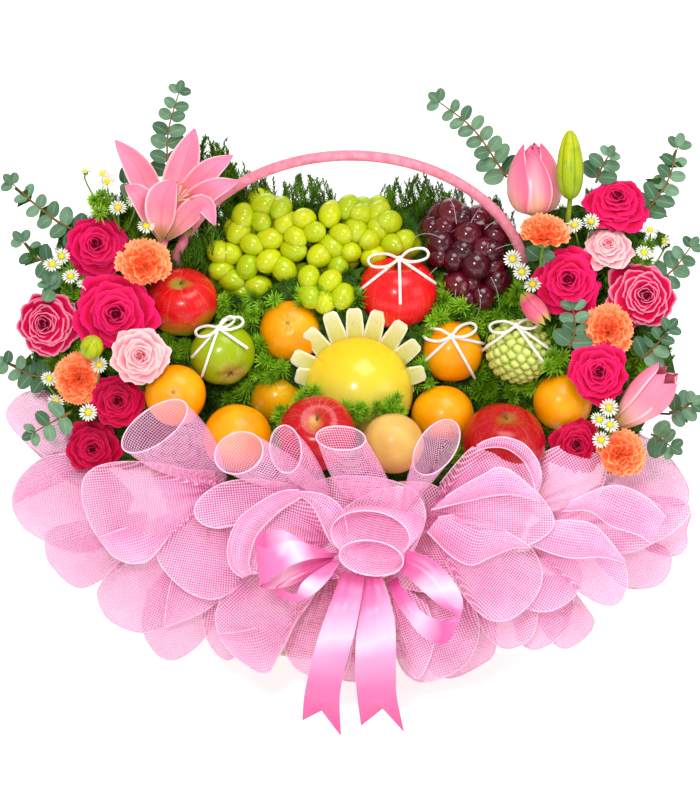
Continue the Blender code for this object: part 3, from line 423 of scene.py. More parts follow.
def build_apples():
    stems = Heap()
    for number, (name, place) in enumerate(APPLES.items()):
        centre, radius, axes = seat(*place, number * 1.3)

        def lobed(radii, heights, around, turn=number):
            low = np.clip(-heights / radius, 0, 1) ** 2
            swell = 1 + 0.018 * np.cos(5 * around + turn) * (0.3 + low) + 0.012 * np.cos(2 * around + turn)
            return radii * swell, heights - 0.02 * radius * low * np.cos(5 * around + turn)

        heap = Heap()
        heap.ball(centre, ball_profile(radius, 44, 0.2, 0.2, 0.93, 0.07), 60, axes, number / 7, lobed)
        slot = "apple_green" if name == "green_apple" else "apple_red"
        heap.make(name + "_skin", apple_finish(*APPLE_SKINS[name]), slot, (name,))
        direction = axes[2]
        start = centre + direction * radius * 0.64
        bend = axes[0] * radius * 0.12
        path = [start + direction * radius * 0.24 * t + bend * t * t for t in np.linspace(0, 1, 7)]
        stems.tube(path, np.linspace(0.0012, 0.0019, 7), 8)
        base = centre - direction * radius * 0.68
        for leaf in range(5):
            away = spoke(axes, leaf * 2 * math.pi / 5)
            reach = [base + away * radius * 0.05 * t - direction * radius * (0.02 + 0.05 * t) for t in (0.2, 1, 2.4)]
            stems.tube(reach, (0.0011, 0.0009, 0.0003), 5)
    stems.make("apple_stems", STEM_BROWN, "apple_red")


def build_oranges():
    orange = citrus_finish("peel_orange", (248, 166, 0), (242, 144, 0))
    deep = citrus_finish("peel_deep", (248, 186, 14), (236, 160, 8), 0.35, 0.16)
    pear = citrus_finish("peel_pear", (226, 184, 96), (212, 160, 80), 0.25, 0.4)
    slots = {"mandarin": ("mandarin_skin", deep), "pale_pear": ("pear_skin", pear)}
    buttons = Heap()
    for number, (name, place) in enumerate(ORANGES.items()):
        centre, radius, axes = seat(*place, number * 0.9)

        def uneven(radii, heights, around, turn=number):
            ribs = 0.03 * np.exp(-(((heights / radius - 0.97) / 0.06) ** 2)) * np.cos(8 * around)
            return radii * (1 + 0.012 * np.cos(3 * around + turn)), heights + ribs * radius * 0.4

        heap = Heap()
        heap.ball(centre, ball_profile(radius, 44, 0.06, 0.03, 0.97), 56, axes, number / 9, uneven)
        slot, look = slots.get(name, ("orange_skin", orange))
        heap.make(name + "_peel", look, slot, (name,))
        top = centre + axes[2] * radius * 0.915
        for point in range(5):
            away = spoke(axes, point * 2 * math.pi / 5 + number)
            path = [top + away * 0.0026 * t + axes[2] * 0.0008 * (1 - t) for t in (0, 0.5, 1)]
            buttons.tube(path, (0.0013, 0.001, 0.0004), 6)
    button = plain_finish("citrus_button", 0.8, (176, 150, 50), (190, 140, 50), 700)
    buttons.make("citrus_buttons", button, "orange_skin")


# The sugar apple: how many scales it has, and how wide the slope to a scale's edge is (radians).
SCALES, SCALE_EDGE = 150, 0.16


def build_sugar_apple():
    """Custard apple: a ball of overlapping scales, each a raised point."""
    centre, radius, axes = seat(*SUGAR_APPLE)
    order = np.arange(SCALES) + 0.5
    height = 1 - 2 * order / SCALES
    angle = order * math.pi * (3 - math.sqrt(5))
    ring = np.sqrt(1 - height ** 2)
    tips = np.stack((ring * np.cos(angle), ring * np.sin(angle), height), -1)
    polar = np.linspace(0.02, np.pi - 0.02, 110)[:, None]
    way = sphere_way(polar, np.linspace(0, 2 * np.pi, 170, endpoint=False)[None, :])
    apart = np.arccos(np.clip(unit_rows(way + np.array((0, 0, 0.05))) @ tips.T, -1, 1))
    apart.sort(axis=-1)
    near = apart[..., 0]
    edge = np.clip((apart[..., 1] - near) / SCALE_EDGE, 0, 1)
    bump = 0.10 * edge ** 0.6 * (1 - 0.5 * (near / 0.2) ** 2)
    body = (0.9 + bump) * radius * np.where(way[..., 2] > 0, 1.0, 0.97)
    points = (way * body[..., None] * np.array((1, 1, 0.96))) @ axes + centre
    heap = Heap()
    heap.grid(points, shades_of(points, edge, np.clip(near / SCALE_EDGE, 0, 1)), wrap=True, caps=True)
    made = Finish("scales", roughness=0.45, subsurface_weight=0.1, subsurface_radius=(0.002, 0.003, 0.001))
    # Painted shade: darker green in the seams between the scales.
    colour = made.ramp(made.grain(0), (0.0, (70, 104, 26)), (0.35, (168, 186, 66)), (1.0, (206, 216, 110)))
    colour = made.over(colour, (226, 226, 150), made.noise(160, 3), 0.4, 0.75, 0, 0.6)
    made.set("Base Color", made.over(colour, (128, 84, 40), made.grain(1), 0.03, 0.16, 0.9, 0.0))
    made.bump(made.noise(500, 3), 0.2, 0.0006)
    heap.make("sugar_apple_scales", made, "scaly_green", ("sugar_apple",))


# Melon fingers: the way each points (degrees) and how far its tip reaches (mm).
MELON_FINGERS = ((16, 76), (39, 84), (57, 90), (75.5, 91), (93, 91), (110.5, 92), (130, 87), (151, 82), (165, 71))
# A finger: its share out to the tip with half its width there (mm), the points round its section
# (across and thick, as shares), and which of them bound each smooth face.
FINGER_OUTLINE = ((0.0, 10.4), (0.3, 10.4), (0.6, 9.9), (0.86, 8.9), (0.94, 8.2), (1.0, 5.4))
FINGER_SECTION = (
    (-1, -0.9), (-1, 0.5), (-0.8, 1.0), (-0.4, 1.16), (0, 1.2), (0.4, 1.16), (0.8, 1.0), (1, 0.5), (1, -0.9),
)
FINGER_FACES = ((0, 1), (1, 2), (2, 3, 4, 5, 6), (6, 7), (7, 8), (8, 0))
# How far from the melon's middle its fingers start (mm).
FINGER_ROOT = 42


def build_melon():
    """A smooth dome with a collar of carved fingers standing out behind its brow."""
    right, up, out, size = MELON
    radius = size * MM / 2
    centre = on_face(right, up, out)
    heap = Heap()
    profile = oval_profile(radius, radius, 61)
    profile[:, 1] = np.where(profile[:, 1] > 0, profile[:, 1], profile[:, 1] * 0.35)
    heap.ball(centre, profile, 80, TO_FACE)
    rim = [
        centre + spoke(TO_FACE, angle) * radius * 0.99 + OUTWARD * radius * 0.12
        for angle in np.linspace(-0.02, math.pi + 0.02, 60)
    ]
    heap.tube(rim, 0.0016, 6, 0.5)
    for degrees, reach in MELON_FINGERS:
        away = spoke(TO_FACE, math.radians(degrees))
        side = np.cross(OUTWARD, away)
        rings = []
        for share, half in FINGER_OUTLINE:
            distance = FINGER_ROOT + (reach - FINGER_ROOT) * share
            middle = on_face(right, up, out - 7 + 41 * share) + away * distance * MM
            thick = 3.4 - 0.8 * share
            rings.append([middle + side * x * half * MM + OUTWARD * z * thick * MM for x, z in FINGER_SECTION])
        rings = np.array(rings)
        shade = shades_of(rings, np.array(FINGER_OUTLINE)[:, :1], np.abs(FINGER_SECTION)[:, 0], 1)
        for face in FINGER_FACES:
            heap.grid(rings[:, face], shade[:, face])
        heap.grid(np.stack((rings[-1, :5], rings[-1, :3:-1])), (1, 1, 1))
    made = Finish("melon_skin", roughness=0.24, coat_weight=0.2, subsurface_weight=0.3,
                  subsurface_radius=(0.01, 0.008, 0.003), subsurface_scale=0.6)
    climb = made.new("VectorMath", made.place(), tuple(UPWARD), operation="DOT_PRODUCT", output=1)
    middle = float(centre @ UPWARD)
    dome = made.ramp(
        made.span(climb, middle - 0.055, middle + 0.06),
        (0.0, (172, 176, 84)), (0.3, (206, 200, 80)), (0.62, (230, 202, 44)), (1.0, (244, 192, 8)),
    )
    dome = made.over(dome, (236, 194, 24), made.noise(26, 3), 0.4, 0.8, 0, 0.3)
    finger = made.ramp(
        made.grain(0), (0.0, (196, 204, 70)), (0.4, (212, 216, 128)), (0.8, (224, 225, 172)), (1.0, (240, 240, 214)),
    )
    finger = made.over(finger, (246, 246, 232), made.grain(1), 0.7, 0.86)
    finger = made.over(finger, (204, 208, 112), made.noise(240, 3), 0.4, 0.8, 0, 0.4)
    made.set("Base Color", made.mix(made.math("GREATER_THAN", made.grain(2), 0.25), dome, finger))
    made.bump(made.noise(300, 2), 0.08, 0.0005)
    heap.make("melon_dome_and_collar", made, "melon", ("carved_melon",))


# How far out the bunches stand, how far behind them their back row is, and a green grape's radius (mm).
GRAPE_DEPTH, BACK_ROW, GRAPE_RADIUS = 26, 17, 14.0
# The grapes: right, up and, for the purple ones, radius (mm).
GREEN_GRAPES = (
    (-94, 208), (-117, 195), (-98, 190), (-70, 188), (-50, 192), (-122, 179), (-108, 164), (-88, 170),
    (-132, 154), (-144, 156), (-89, 146), (-112, 140), (-130, 125), (-100, 118), (-62, 158), (-40, 178),
    (-22, 197), (-33, 152), (-10, 175), (12, 197), (1, 156), (21, 169), (43, 189), (46, 164), (58, 167),
    (-13, 139), (-45, 128), (-22, 123), (-28, 101), (-8, 107), (-72, 136), (-2, 205), (6, 180), (31, 199),
    (26, 151), (-21, 162), (-44, 107), (-120, 112), (-141, 136), (-76, 204), (-60, 172), (30, 182),
)
PURPLE_GRAPES = (
    (111, 199, 15), (142, 194, 13), (90, 183, 12), (129, 175, 15), (99, 166, 15), (160, 174, 14),
    (155, 157, 13), (138, 142, 16), (113, 147, 12), (118, 119, 16), (162, 124, 14), (145, 107, 14),
    (124, 194, 12), (104, 183, 12), (146, 160, 12), (124, 158, 13), (98, 150, 10), (133, 122, 11),
    (128, 104, 12), (158, 141, 11),
)


def build_grapes(name, places, stretch, finish, slot, node, seed):
    """Grapes at their places over a hidden back row, with a few bare stalks."""
    draw = random.Random(seed)
    rights = [place[0] for place in places]
    ups = [place[1] for place in places]
    middle = ((min(rights) + max(rights)) / 2, (min(ups) + max(ups)) / 2)
    half = ((max(rights) - min(rights)) / 2 + GRAPE_RADIUS, (max(ups) - min(ups)) / 2 + GRAPE_RADIUS)
    form = Heap()
    form.ball(np.zeros(3), oval_profile(1.0, stretch, 17), 22, np.eye(3))
    heap = Heap()
    centres = []
    for layer in (0, 1):
        for right, up, *wide in places:
            radius = wide[0] * 1.1 if wide else GRAPE_RADIUS * draw.uniform(0.93, 1.05)
            bulge = 1 - ((right - middle[0]) / half[0]) ** 2 - ((up - middle[1]) / half[1]) ** 2
            out = GRAPE_DEPTH + 16 * max(0.0, bulge) + draw.uniform(-3, 3) - layer * BACK_ROW
            if layer == 0:
                out = max(out, (bed_depth(right, up) or 0) + 5)
            shift = layer * 9
            centres.append(on_face(right + draw.uniform(-1, 1) * shift, up + draw.uniform(-1, 1) * shift, out))
            axes = axes_to(face_direction(draw.uniform(-1, 1), draw.uniform(-1, 0.2), draw.uniform(0.1, 0.9)))
            heap.stamp(form, centres[-1], axes, radius * MM / stretch ** 0.4, draw.random())
    heap.make(name, finish, slot, (node,))
    stalks = Heap()
    hub = on_face(*middle, GRAPE_DEPTH - 6)
    for centre in centres[::3]:
        bend = (hub + centre) / 2 + OUTWARD * 0.004
        path = [hub * (1 - t) ** 2 + bend * 2 * t * (1 - t) + centre * t * t for t in np.linspace(0, 1, 6)]
        stalks.tube(path, 0.0013, 5)
    stalks.make(name + "_stalks", STEM_BROWN, slot)


def build_all_grapes():
    green = Finish("grape_green_skin", roughness=0.2, coat_weight=0.3, subsurface_weight=0.5,
                   subsurface_radius=(0.006, 0.007, 0.001), subsurface_scale=0.8)
    tone = green.mix(green.grain(2), (156, 184, 2), (196, 204, 6))
    tone = green.over(tone, (196, 186, 30), green.noise(90, 3), 0.45, 0.8, 0, 0.5)
    tone = green.over(tone, (206, 216, 90), green.grain(0), 0.0, 0.2, 0.4, 0.0)
    green.set("Base Color", green.over(tone, (96, 70, 20), green.grain(0), 0.975, 0.99))
    build_grapes("green_grapes", GREEN_GRAPES, 1.24, green, "grape_green", "grapes_green", 5)
    purple = Finish("grape_purple_skin", coat_weight=0.5, coat_roughness=0.06, subsurface_weight=0.1,
                    subsurface_radius=(0.004, 0.001, 0.001))
    bloom = purple.span(purple.noise(70, 4), 0.46, 0.78, 0, 0.45)
    tone = purple.mix(purple.grain(2), (58, 4, 16), (96, 10, 28))
    purple.set("Base Color", purple.mix(bloom, tone, (92, 26, 52)))
    purple.set("Roughness", purple.span(bloom, 0, 0.45, 0.14, 0.36))
    build_grapes("purple_grapes", PURPLE_GRAPES, 1.03, purple, "grape_purple", "grapes_purple", 8)


# The film round the purple grapes: its middle and how far it reaches (right, up, out in mm), and
# how far round its sides it comes (radians from its front).
FILM_MIDDLE = (127, 150, 22)
FILM_REACH = np.array((60.0, 69.0, 49.0))
FILM_EDGE = 1.75


def build_film():
    """Clear wrinkled film drawn over the purple grapes, seen only by painted white glints."""
    heap = Heap()
    middle = on_face(*FILM_MIDDLE)
    polar = np.linspace(0.02, FILM_EDGE, 26)[:, None]
    around = np.linspace(0, 2 * np.pi, 60, endpoint=False)[None, :]
    crumple = 0.03 * np.sin(7 * around + 3 * polar) * np.sin(polar * 4) + 0.02 * np.sin(13 * around - 5 * polar)
    swell = 1 + crumple[..., None] * np.sin(polar)[..., None]
    points = (sphere_way(polar, around) * swell * FILM_REACH * MM) @ TO_FACE + middle
    heap.grid(points, shades_of(points, polar / FILM_EDGE), wrap=True)
    # The arcs are thin white lines that paint glints along the film's creases.
    for index in range(9):
        steps = np.linspace(0.55, 1.7, 22)
        way = sphere_way(steps, index * 0.698 + 0.25 * np.sin(steps * 2 + index))
        heap.tube(way * FILM_REACH * 1.06 * MM @ TO_FACE + middle, 0.00045, 4, 1)
    # The film is seen only by painted reflection: white streaks, a white band toward its rim and the arcs, each made
    # partly opaque by alpha.
    made = Finish("clear_film", roughness=0.05, specular_ior_level=0.7, base_color=(1, 1, 1, 1))
    streaks = made.span(made.noise(60, 4, 0.6, distortion=1.5), 0.64, 0.68, 0.0, 0.14)
    rim = made.span(made.grain(0), 0.76, 0.95, 0.0, 0.22)
    painted_glint = made.math("ADD", made.math("MAXIMUM", streaks, rim), made.math("MULTIPLY", made.grain(2), 0.2))
    made.set("Alpha", painted_glint)
    made.bump(made.noise(55, 4), 0.6, 0.004)
    heap.make("grape_film", made)


# The studio's lights: where each stands, its size (m) and its power (W).
LIGHTS = {
    "key_softbox": ((-0.5, -2.5, 2.3), 0.45, 40),
    "top_softbox": ((0.5, -0.5, 2.8), 1.4, 40),
    "side_softbox": ((2.4, -1.2, 1.4), 1.4, 12),
    "back_softbox": ((-0.4, 2.4, 1.8), 1.6, 16),
}
# How far the camera stands from the display face, and the height it frames there (m).
CAMERA_AWAY, FRAME_HEIGHT = 15.0, 0.8668
# The width of the camera's sensor (mm).
SENSOR = 36


def build_stage():
    """Pale floor, soft lights and the camera in front of the display face."""
    mesh = bpy.data.meshes.new("floor")
    mesh.from_pydata([(-12, -12, 0), (12, -12, 0), (12, 12, 0), (-12, 12, 0)], [], [(0, 1, 2, 3)])
    white = Finish("floor_white", roughness=0.9, base_color=(0.75, 0.75, 0.75, 1), emission_color=(1, 1, 1, 1),
                   emission_strength=0.62)
    mesh.materials.append(white.material)
    floor = placed("floor", mesh)
    world = bpy.data.worlds.new("studio")
    world.use_nodes = True
    for place, value in enumerate(((1, 1, 1, 1), 0.55)):
        world.node_tree.nodes["Background"].inputs[place].default_value = value
    bpy.context.scene.world = world
    aim = Vector((0, 0, FACE_HEIGHT))
    for name, (place, size, power) in LIGHTS.items():
        light = bpy.data.lights.new(name, "AREA")
        light.size = size
        light.energy = power
        lamp = placed(name, light)
        lamp.location = place
        lamp.rotation_euler = (aim - lamp.location).to_track_quat("-Z", "Y").to_euler()
    lens = bpy.data.cameras.new("camera")
    lens.lens = SENSOR * CAMERA_AWAY / FRAME_HEIGHT
    lens.clip_end = 100
    camera = placed("camera", lens)
    stand = Matrix.Translation(aim + Vector(OUTWARD) * CAMERA_AWAY)
    camera.matrix_world = stand @ Matrix(TO_FACE).transposed().to_4x4()
    bpy.context.scene.camera = camera
    bpy.context.scene.view_settings.view_transform = "Standard"


# Mesh petals: root, (out at the root, out at the far edge, how far the middle swells), then the
# outline from one side of the root round to the other (right, up in mm).
PETALS_BACK = (
    ((-255, -105), (20, 12, 14), (
        (-290, -72), (-304, -56), (-316, -30), (-328, 0), (-345, 4), (-365, -3), (-378, -21), (-372, -36),
        (-359, -51), (-341, -68), (-319, -88), (-290, -108),
    )),
    ((-238, -112), (30, 12, 22), (
        (-280, -66), (-310, -62), (-336, -70), (-361, -90), (-371, -112), (-369, -130), (-355, -150),
        (-326, -166), (-299, -174), (-272, -168), (-250, -140),
    )),
    ((-225, -130), (30, 16, 12), (
        (-300, -140), (-330, -150), (-335, -166), (-331, -184), (-314, -204), (-297, -213), (-277, -206),
        (-248, -186), (-228, -160),
    )),
    ((-175, -165), (40, 42, 14), (
        (-222, -215), (-228, -255), (-215, -282), (-198, -292), (-180, -286), (-160, -268), (-146, -240),
        (-150, -200),
    )),
    ((-128, -185), (50, 48, 8), (
        (-165, -230), (-156, -270), (-138, -291), (-125, -286), (-112, -262), (-108, -220),
    )),
    ((-178, -150), (62, 44, 18), (
        (-208, -150), (-232, -168), (-256, -188), (-272, -206), (-277, -222), (-267, -245), (-248, -257),
        (-226, -262), (-204, -254), (-164, -238), (-138, -220), (-140, -186),
    )),
    ((-20, -195), (70, 72, 10), (
        (-66, -250), (-72, -274), (-62, -297), (-45, -308), (-26, -312), (-6, -306), (4, -270),
    )),
    ((10, -195), (66, 68, 8), (
        (-26, -290), (-12, -311), (10, -315), (32, -312), (46, -290), (40, -240),
    )),
    ((112, -205), (60, 52, 10), (
        (78, -286), (92, -306), (112, -311), (138, -300), (158, -284), (160, -250),
    )),
    ((76, -195), (80, 76, 14), (
        (104, -212), (123, -218), (139, -242), (140, -267), (127, -294), (100, -311), (72, -314), (52, -290),
        (50, -240),
    )),
    ((150, -188), (74, 66, 12), (
        (196, -200), (206, -222), (205, -244), (201, -262), (189, -274), (172, -279), (157, -272), (142, -252),
        (136, -226),
    )),
    ((192, -196), (50, 40, 10), (
        (240, -205), (250, -222), (262, -238), (268, -252), (257, -268), (238, -279), (222, -272), (200, -240),
    )),
    ((182, -196), (60, 48, 10), (
        (236, -200), (245, -222), (239, -252), (221, -273), (199, -280), (184, -266), (176, -230),
    )),
    ((255, -150), (30, 14, 12), (
        (300, -150), (330, -160), (352, -174), (350, -198), (338, -210), (322, -214), (300, -211), (272, -186),
    )),
    ((280, -128), (20, 0, 8), (
        (330, -112), (362, -116), (375, -130), (370, -150), (371, -166), (358, -178), (330, -172), (296, -150),
    )),
    ((272, -110), (30, 8, 20), (
        (286, -62), (300, -46), (318, -45), (339, -56), (354, -73), (368, -93), (373, -112), (366, -130),
        (352, -142), (320, -140), (290, -128),
    )),
)
PETALS_FRONT = (
    ((-146, -106), (118, 70, 30), (
        (-148, -84), (-176, -83), (-213, -76), (-248, -74), (-278, -80), (-292, -94), (-293, -114),
        (-287, -136), (-275, -158), (-257, -178), (-235, -186), (-216, -177), (-200, -152), (-176, -126),
        (-154, -114),
    )),
    ((-150, -112), (112, 98, 20), (
        (-170, -122), (-192, -136), (-208, -152), (-212, -168), (-206, -188), (-188, -208), (-169, -220),
        (-148, -224), (-130, -216), (-115, -198), (-110, -170), (-124, -134),
    )),
    ((-46, -108), (150, 138, 12), (
        (-60, -100), (-80, -96), (-109, -93), (-138, -97), (-160, -110), (-170, -126), (-163, -140),
        (-146, -146), (-124, -142), (-96, -130), (-62, -117),
    )),
    ((-34, -172), (112, 92, 24), (
        (-60, -178), (-92, -186), (-120, -200), (-138, -218), (-147, -243), (-142, -264), (-124, -288),
        (-94, -306), (-78, -286), (-62, -254), (-42, -224), (-30, -200),
    )),
    ((62, -160), (100, 104, 8), (
        (10, -130), (30, -104), (60, -96), (96, -102), (120, -130), (124, -170), (110, -206), (80, -216),
        (44, -206),
    )),
    ((-4, -164), (120, 122, 6), (
        (-66, -132), (-56, -106), (-24, -92), (14, -90), (50, -96), (78, -112), (84, -140),
    )),
    ((0, -204), (136, 140, 6), (
        (-50, -196), (-64, -172), (-46, -150), (-6, -146), (34, -158), (44, -186),
    )),
    ((-24, -160), (150, 150, 14), (
        (-20, -130), (-40, -114), (-70, -110), (-97, -120), (-118, -138), (-128, -158), (-128, -178),
        (-116, -196), (-84, -190), (-50, -178),
    )),
    ((20, -176), (140, 150, 20), (
        (-12, -160), (-10, -130), (14, -112), (44, -102), (70, -106), (82, -130), (74, -160), (56, -190),
        (34, -200),
    )),
    ((40, -196), (100, 92, 10), (
        (84, -230), (92, -262), (86, -292), (72, -311), (60, -280), (48, -236),
    )),
    ((96, -122), (118, 112, 26), (
        (98, -98), (114, -78), (130, -61), (147, -51), (167, -47), (188, -54), (204, -72), (209, -90),
        (203, -108), (176, -124), (130, -132),
    )),
    ((84, -136), (124, 104, 26), (
        (112, -128), (150, -140), (179, -154), (198, -168), (209, -190), (208, -210), (194, -232), (174, -246),
        (154, -247), (138, -236), (122, -216), (104, -182),
    )),
    ((86, -127), (140, 128, 26), (
        (104, -112), (126, -98), (147, -87), (168, -81), (187, -92), (208, -112), (221, -132), (221, -146),
        (208, -158), (190, -164), (150, -154), (112, -140),
    )),
    ((190, -122), (84, 74, 16), (
        (196, -84), (210, -66), (235, -56), (262, -58), (280, -72), (279, -92), (270, -114), (253, -130),
        (226, -139), (204, -134),
    )),
    ((196, -150), (78, 46, 22), (
        (222, -130), (245, -118), (261, -108), (277, -98), (307, -103), (335, -120), (358, -134), (370, -118),
        (372, -132), (352, -152), (322, -168), (296, -175), (262, -172), (226, -164),
    )),
    ((192, -160), (92, 76, 16), (
        (218, -140), (245, -138), (270, -146), (289, -166), (301, -188), (303, -210), (293, -230), (275, -230),
        (253, -218), (226, -198), (204, -180),
    )),
    ((166, -178), (98, 82, 14), (
        (192, -172), (218, -172), (245, -180), (254, -198), (248, -218), (230, -233), (210, -238), (190, -232),
        (172, -210),
    )),
)
# Rolled mesh horns: root, out at the root, then the mouth: middle (right, up, out), half sizes, the
# turn of its long side in degrees, how far it leans back, how far the side swells, the root's size.
HORNS = (
    ((-140, -97), 118, (-213, -35, 142), 42, 19, 36, 0.5, 3.5, 7),
    ((-32, -108), 158, (-121, -64, 160), 27, 22, 24, 0.5, 4, 7),
    ((-22, -106), 160, (-70, -60, 168), 26, 17, 96, 0.5, 4, 6),
    ((22, -116), 166, (-10, -48, 176), 27, 13, -4, 0.5, 1.5, 28),
    ((66, -120), 156, (94, -58, 162), 34, 20, 55, 0.5, 1.5, 28),
)
KNOT_HORNS = (
    ((46, -126), 156, (22, -154, 188), 43, 27, -8, 0.25, 3, 30),
    ((34, -164), 176, (23, -178, 204), 35, 19, -8, 0.3, 2, 17),
)
# Bands and turned-back flaps of mesh: out at their start and end and how far they swell, then
# their two edges (right, up in mm).
LOOP_BANDS = (
    ((172, 176, 8), ((-56, -104), (-75, -106), (-97, -117), (-120, -135), (-131, -157), (-133, -176), (-128, -191),
                     (-116, -200)),
     ((-50, -110), (-62, -118), (-75, -126), (-90, -140), (-101, -153), (-107, -168), (-110, -183), (-107, -196))),
    ((172, 176, 6), ((-58, -106), (-41, -107), (-28, -110), (-16, -117), (-8, -127), (-4, -142), (-2, -158)),
     ((-52, -112), (-44, -118), (-38, -126), (-31, -140), (-27, -150), (-21, -160), (-8, -172))),
)
FLAPS = (
    ((18, 34, 6), ((-368, -122), (-336, -105), (-299, -90), (-276, -84)),
     ((-370, -110), (-361, -90), (-336, -70), (-300, -64))),
    ((92, 126, 8), ((-276, -157), (-238, -144), (-198, -130), (-169, -117), (-148, -107)),
     ((-274, -159), (-257, -178), (-235, -185), (-214, -176), (-176, -126), (-152, -112))),
    ((82, 66, 6), ((-178, -164), (-190, -190), (-196, -206), (-201, -232), (-203, -254)),
     ((-148, -176), (-139, -200), (-139, -220), (-164, -240), (-202, -255))),
    ((112, 112, 6), ((-144, -262), (-124, -260), (-102, -255), (-79, -246), (-57, -232)),
     ((-142, -266), (-124, -288), (-94, -305), (-78, -286), (-55, -240))),
    ((158, 146, 8), ((84, -150), (110, -176), (132, -186), (152, -178), (177, -168), (196, -167)),
     ((96, -134), (123, -131), (152, -141), (179, -155), (190, -162), (197, -167))),
    ((168, 156, 8), ((88, -126), (130, -116), (160, -110), (181, -110), (207, -116)),
     ((104, -112), (126, -98), (147, -87), (168, -81), (208, -112))),
    ((122, 112, 6), ((197, -164), (221, -174), (245, -179), (275, -178), (299, -184)),
     ((200, -150), (218, -140), (245, -138), (270, -146), (300, -182))),
    ((112, 84, 6), ((232, -128), (261, -128), (285, -144), (315, -154), (330, -164)),
     ((240, -118), (261, -108), (290, -100), (322, -112), (345, -134))),
    ((142, 134, 5), ((138, -62), (153, -58), (172, -60), (190, -74), (199, -92), (202, -106)),
     ((138, -56), (150, -50), (168, -47), (190, -55), (205, -74), (208, -92))),
)
# Half the thickness of a hem, and how wide a cell of the mesh is (m).
HEM = 0.00085
CELL = 0.0027


def reach_along(line):
    """How far along the line each of its points lies."""
    return np.concatenate(((0,), np.cumsum(np.linalg.norm(np.diff(line, axis=0), axis=1))))


def sampled(line, reach, wanted):
    """The line's points at the wanted places of its reach."""
    return np.stack([np.interp(wanted, reach, column) for column in line.T], -1)


def smooth_line(points, steps):
    """Points spread evenly along a smooth line through the given points."""
    points = np.asarray(points, float)
    ends = np.concatenate((2 * points[:1] - points[1:2], points, 2 * points[-1:] - points[-2:-1]))
    fine = []
    for index in range(len(points) - 1):
        before, start, end, after = ends[index:index + 4]
        for share in np.linspace(0, 1, 12, endpoint=False):
            fine.append(0.5 * (
                2 * start + (end - before) * share
                + (2 * before - 5 * start + 4 * end - after) * share ** 2
                + (3 * start - before - 3 * end + after) * share ** 3
            ))
    fine = np.array(fine + [points[-1]])
    reach = reach_along(fine)
    return sampled(fine, reach, np.linspace(0, reach[-1], steps))


def to_room(places):
    """Rows of (right, up, out) millimetres as points in the room."""
    return np.array((0, 0, FACE_HEIGHT)) + (np.asarray(places) * MM) @ TO_FACE


def woven_shades(points):
    """The lengths along and across a cloth at each of its points, for the weave, and the share from root to rim that
    the finish paints shade and light by.
    """
    along = np.linalg.norm(np.diff(points, axis=0), axis=2)
    along = np.concatenate((np.zeros((1, points.shape[1])), np.cumsum(along, axis=0)))
    along = along * 0.5 + along.mean(axis=1, keepdims=True) * 0.5
    across = np.linalg.norm(np.diff(points, axis=1), axis=2)
    across = np.concatenate((np.zeros((points.shape[0], 1)), np.cumsum(across, axis=1)), axis=1)
    across = across - across[:, points.shape[1] // 2][:, None]
    share = np.linspace(0.3, 1, len(points))[:, None] + 0 * along
    return np.stack((along, across, share), -1)


def petal(heap, hems, root, outs, outline, seed, rows=20, columns=44):
    """A gathered petal: a swelling front layer folded back into a flatter one behind it."""
    draw = random.Random(seed)
    near, far, swell = outs
    edge = smooth_line(outline, columns)
    root = np.asarray(root, float)
    reach = np.linalg.norm(edge - root, axis=1)
    share = np.linspace(0, 1, rows)[:, None]
    turn = np.linspace(0, 1, columns)[None, :]
    gather = 7.0 * (turn - 0.5)
    across = unit(edge[-1] - edge[0])
    spread = share ** 0.92
    flat = root + across * gather[..., None] * (1 - share[..., None]) + (edge[None] - root) * spread[..., None]
    folds = 5 + draw.randrange(3)
    phase = draw.uniform(0, 6.28)
    rounding = np.sin(np.pi * turn) ** 0.7
    ripple = np.sin(folds * np.pi * 2 * turn + phase) + 0.5 * np.sin(folds * 3.1 * np.pi * turn + 2 * phase)
    pleats = ripple * 2.6 * np.exp(-share * 2.0) * (0.25 + 0.75 * np.clip(share * 6, 0, 1))
    frill = 2.2 * share ** 3 * np.sin(3.0 * np.pi * turn + phase)
    middle = near + (far - near) * share * (reach / reach.max())[None, :] ** 0.5
    dome = np.sin(np.pi * np.clip(share, 0, 1) ** 0.75)
    front = middle + swell * dome * (0.3 + 0.7 * rounding) + pleats + frill
    back = middle - 0.55 * swell * dome * rounding + pleats * 0.6 + frill
    axis = unit(edge.mean(axis=0) - root)
    beside = np.array((-axis[1], axis[0]))
    weave = np.stack((
        (flat - root) @ axis * MM,
        ((edge - root) @ beside)[None, :] * (0.45 + 0.55 * share) * MM,
        share * np.ones(columns),
    ), -1)
    for layer, depth in enumerate((front, back)):
        points = to_room(np.concatenate((flat, depth[..., None]), -1))
        heap.grid(points, weave)
        if layer == 0:
            hems.tube(points[-1], HEM, 5)


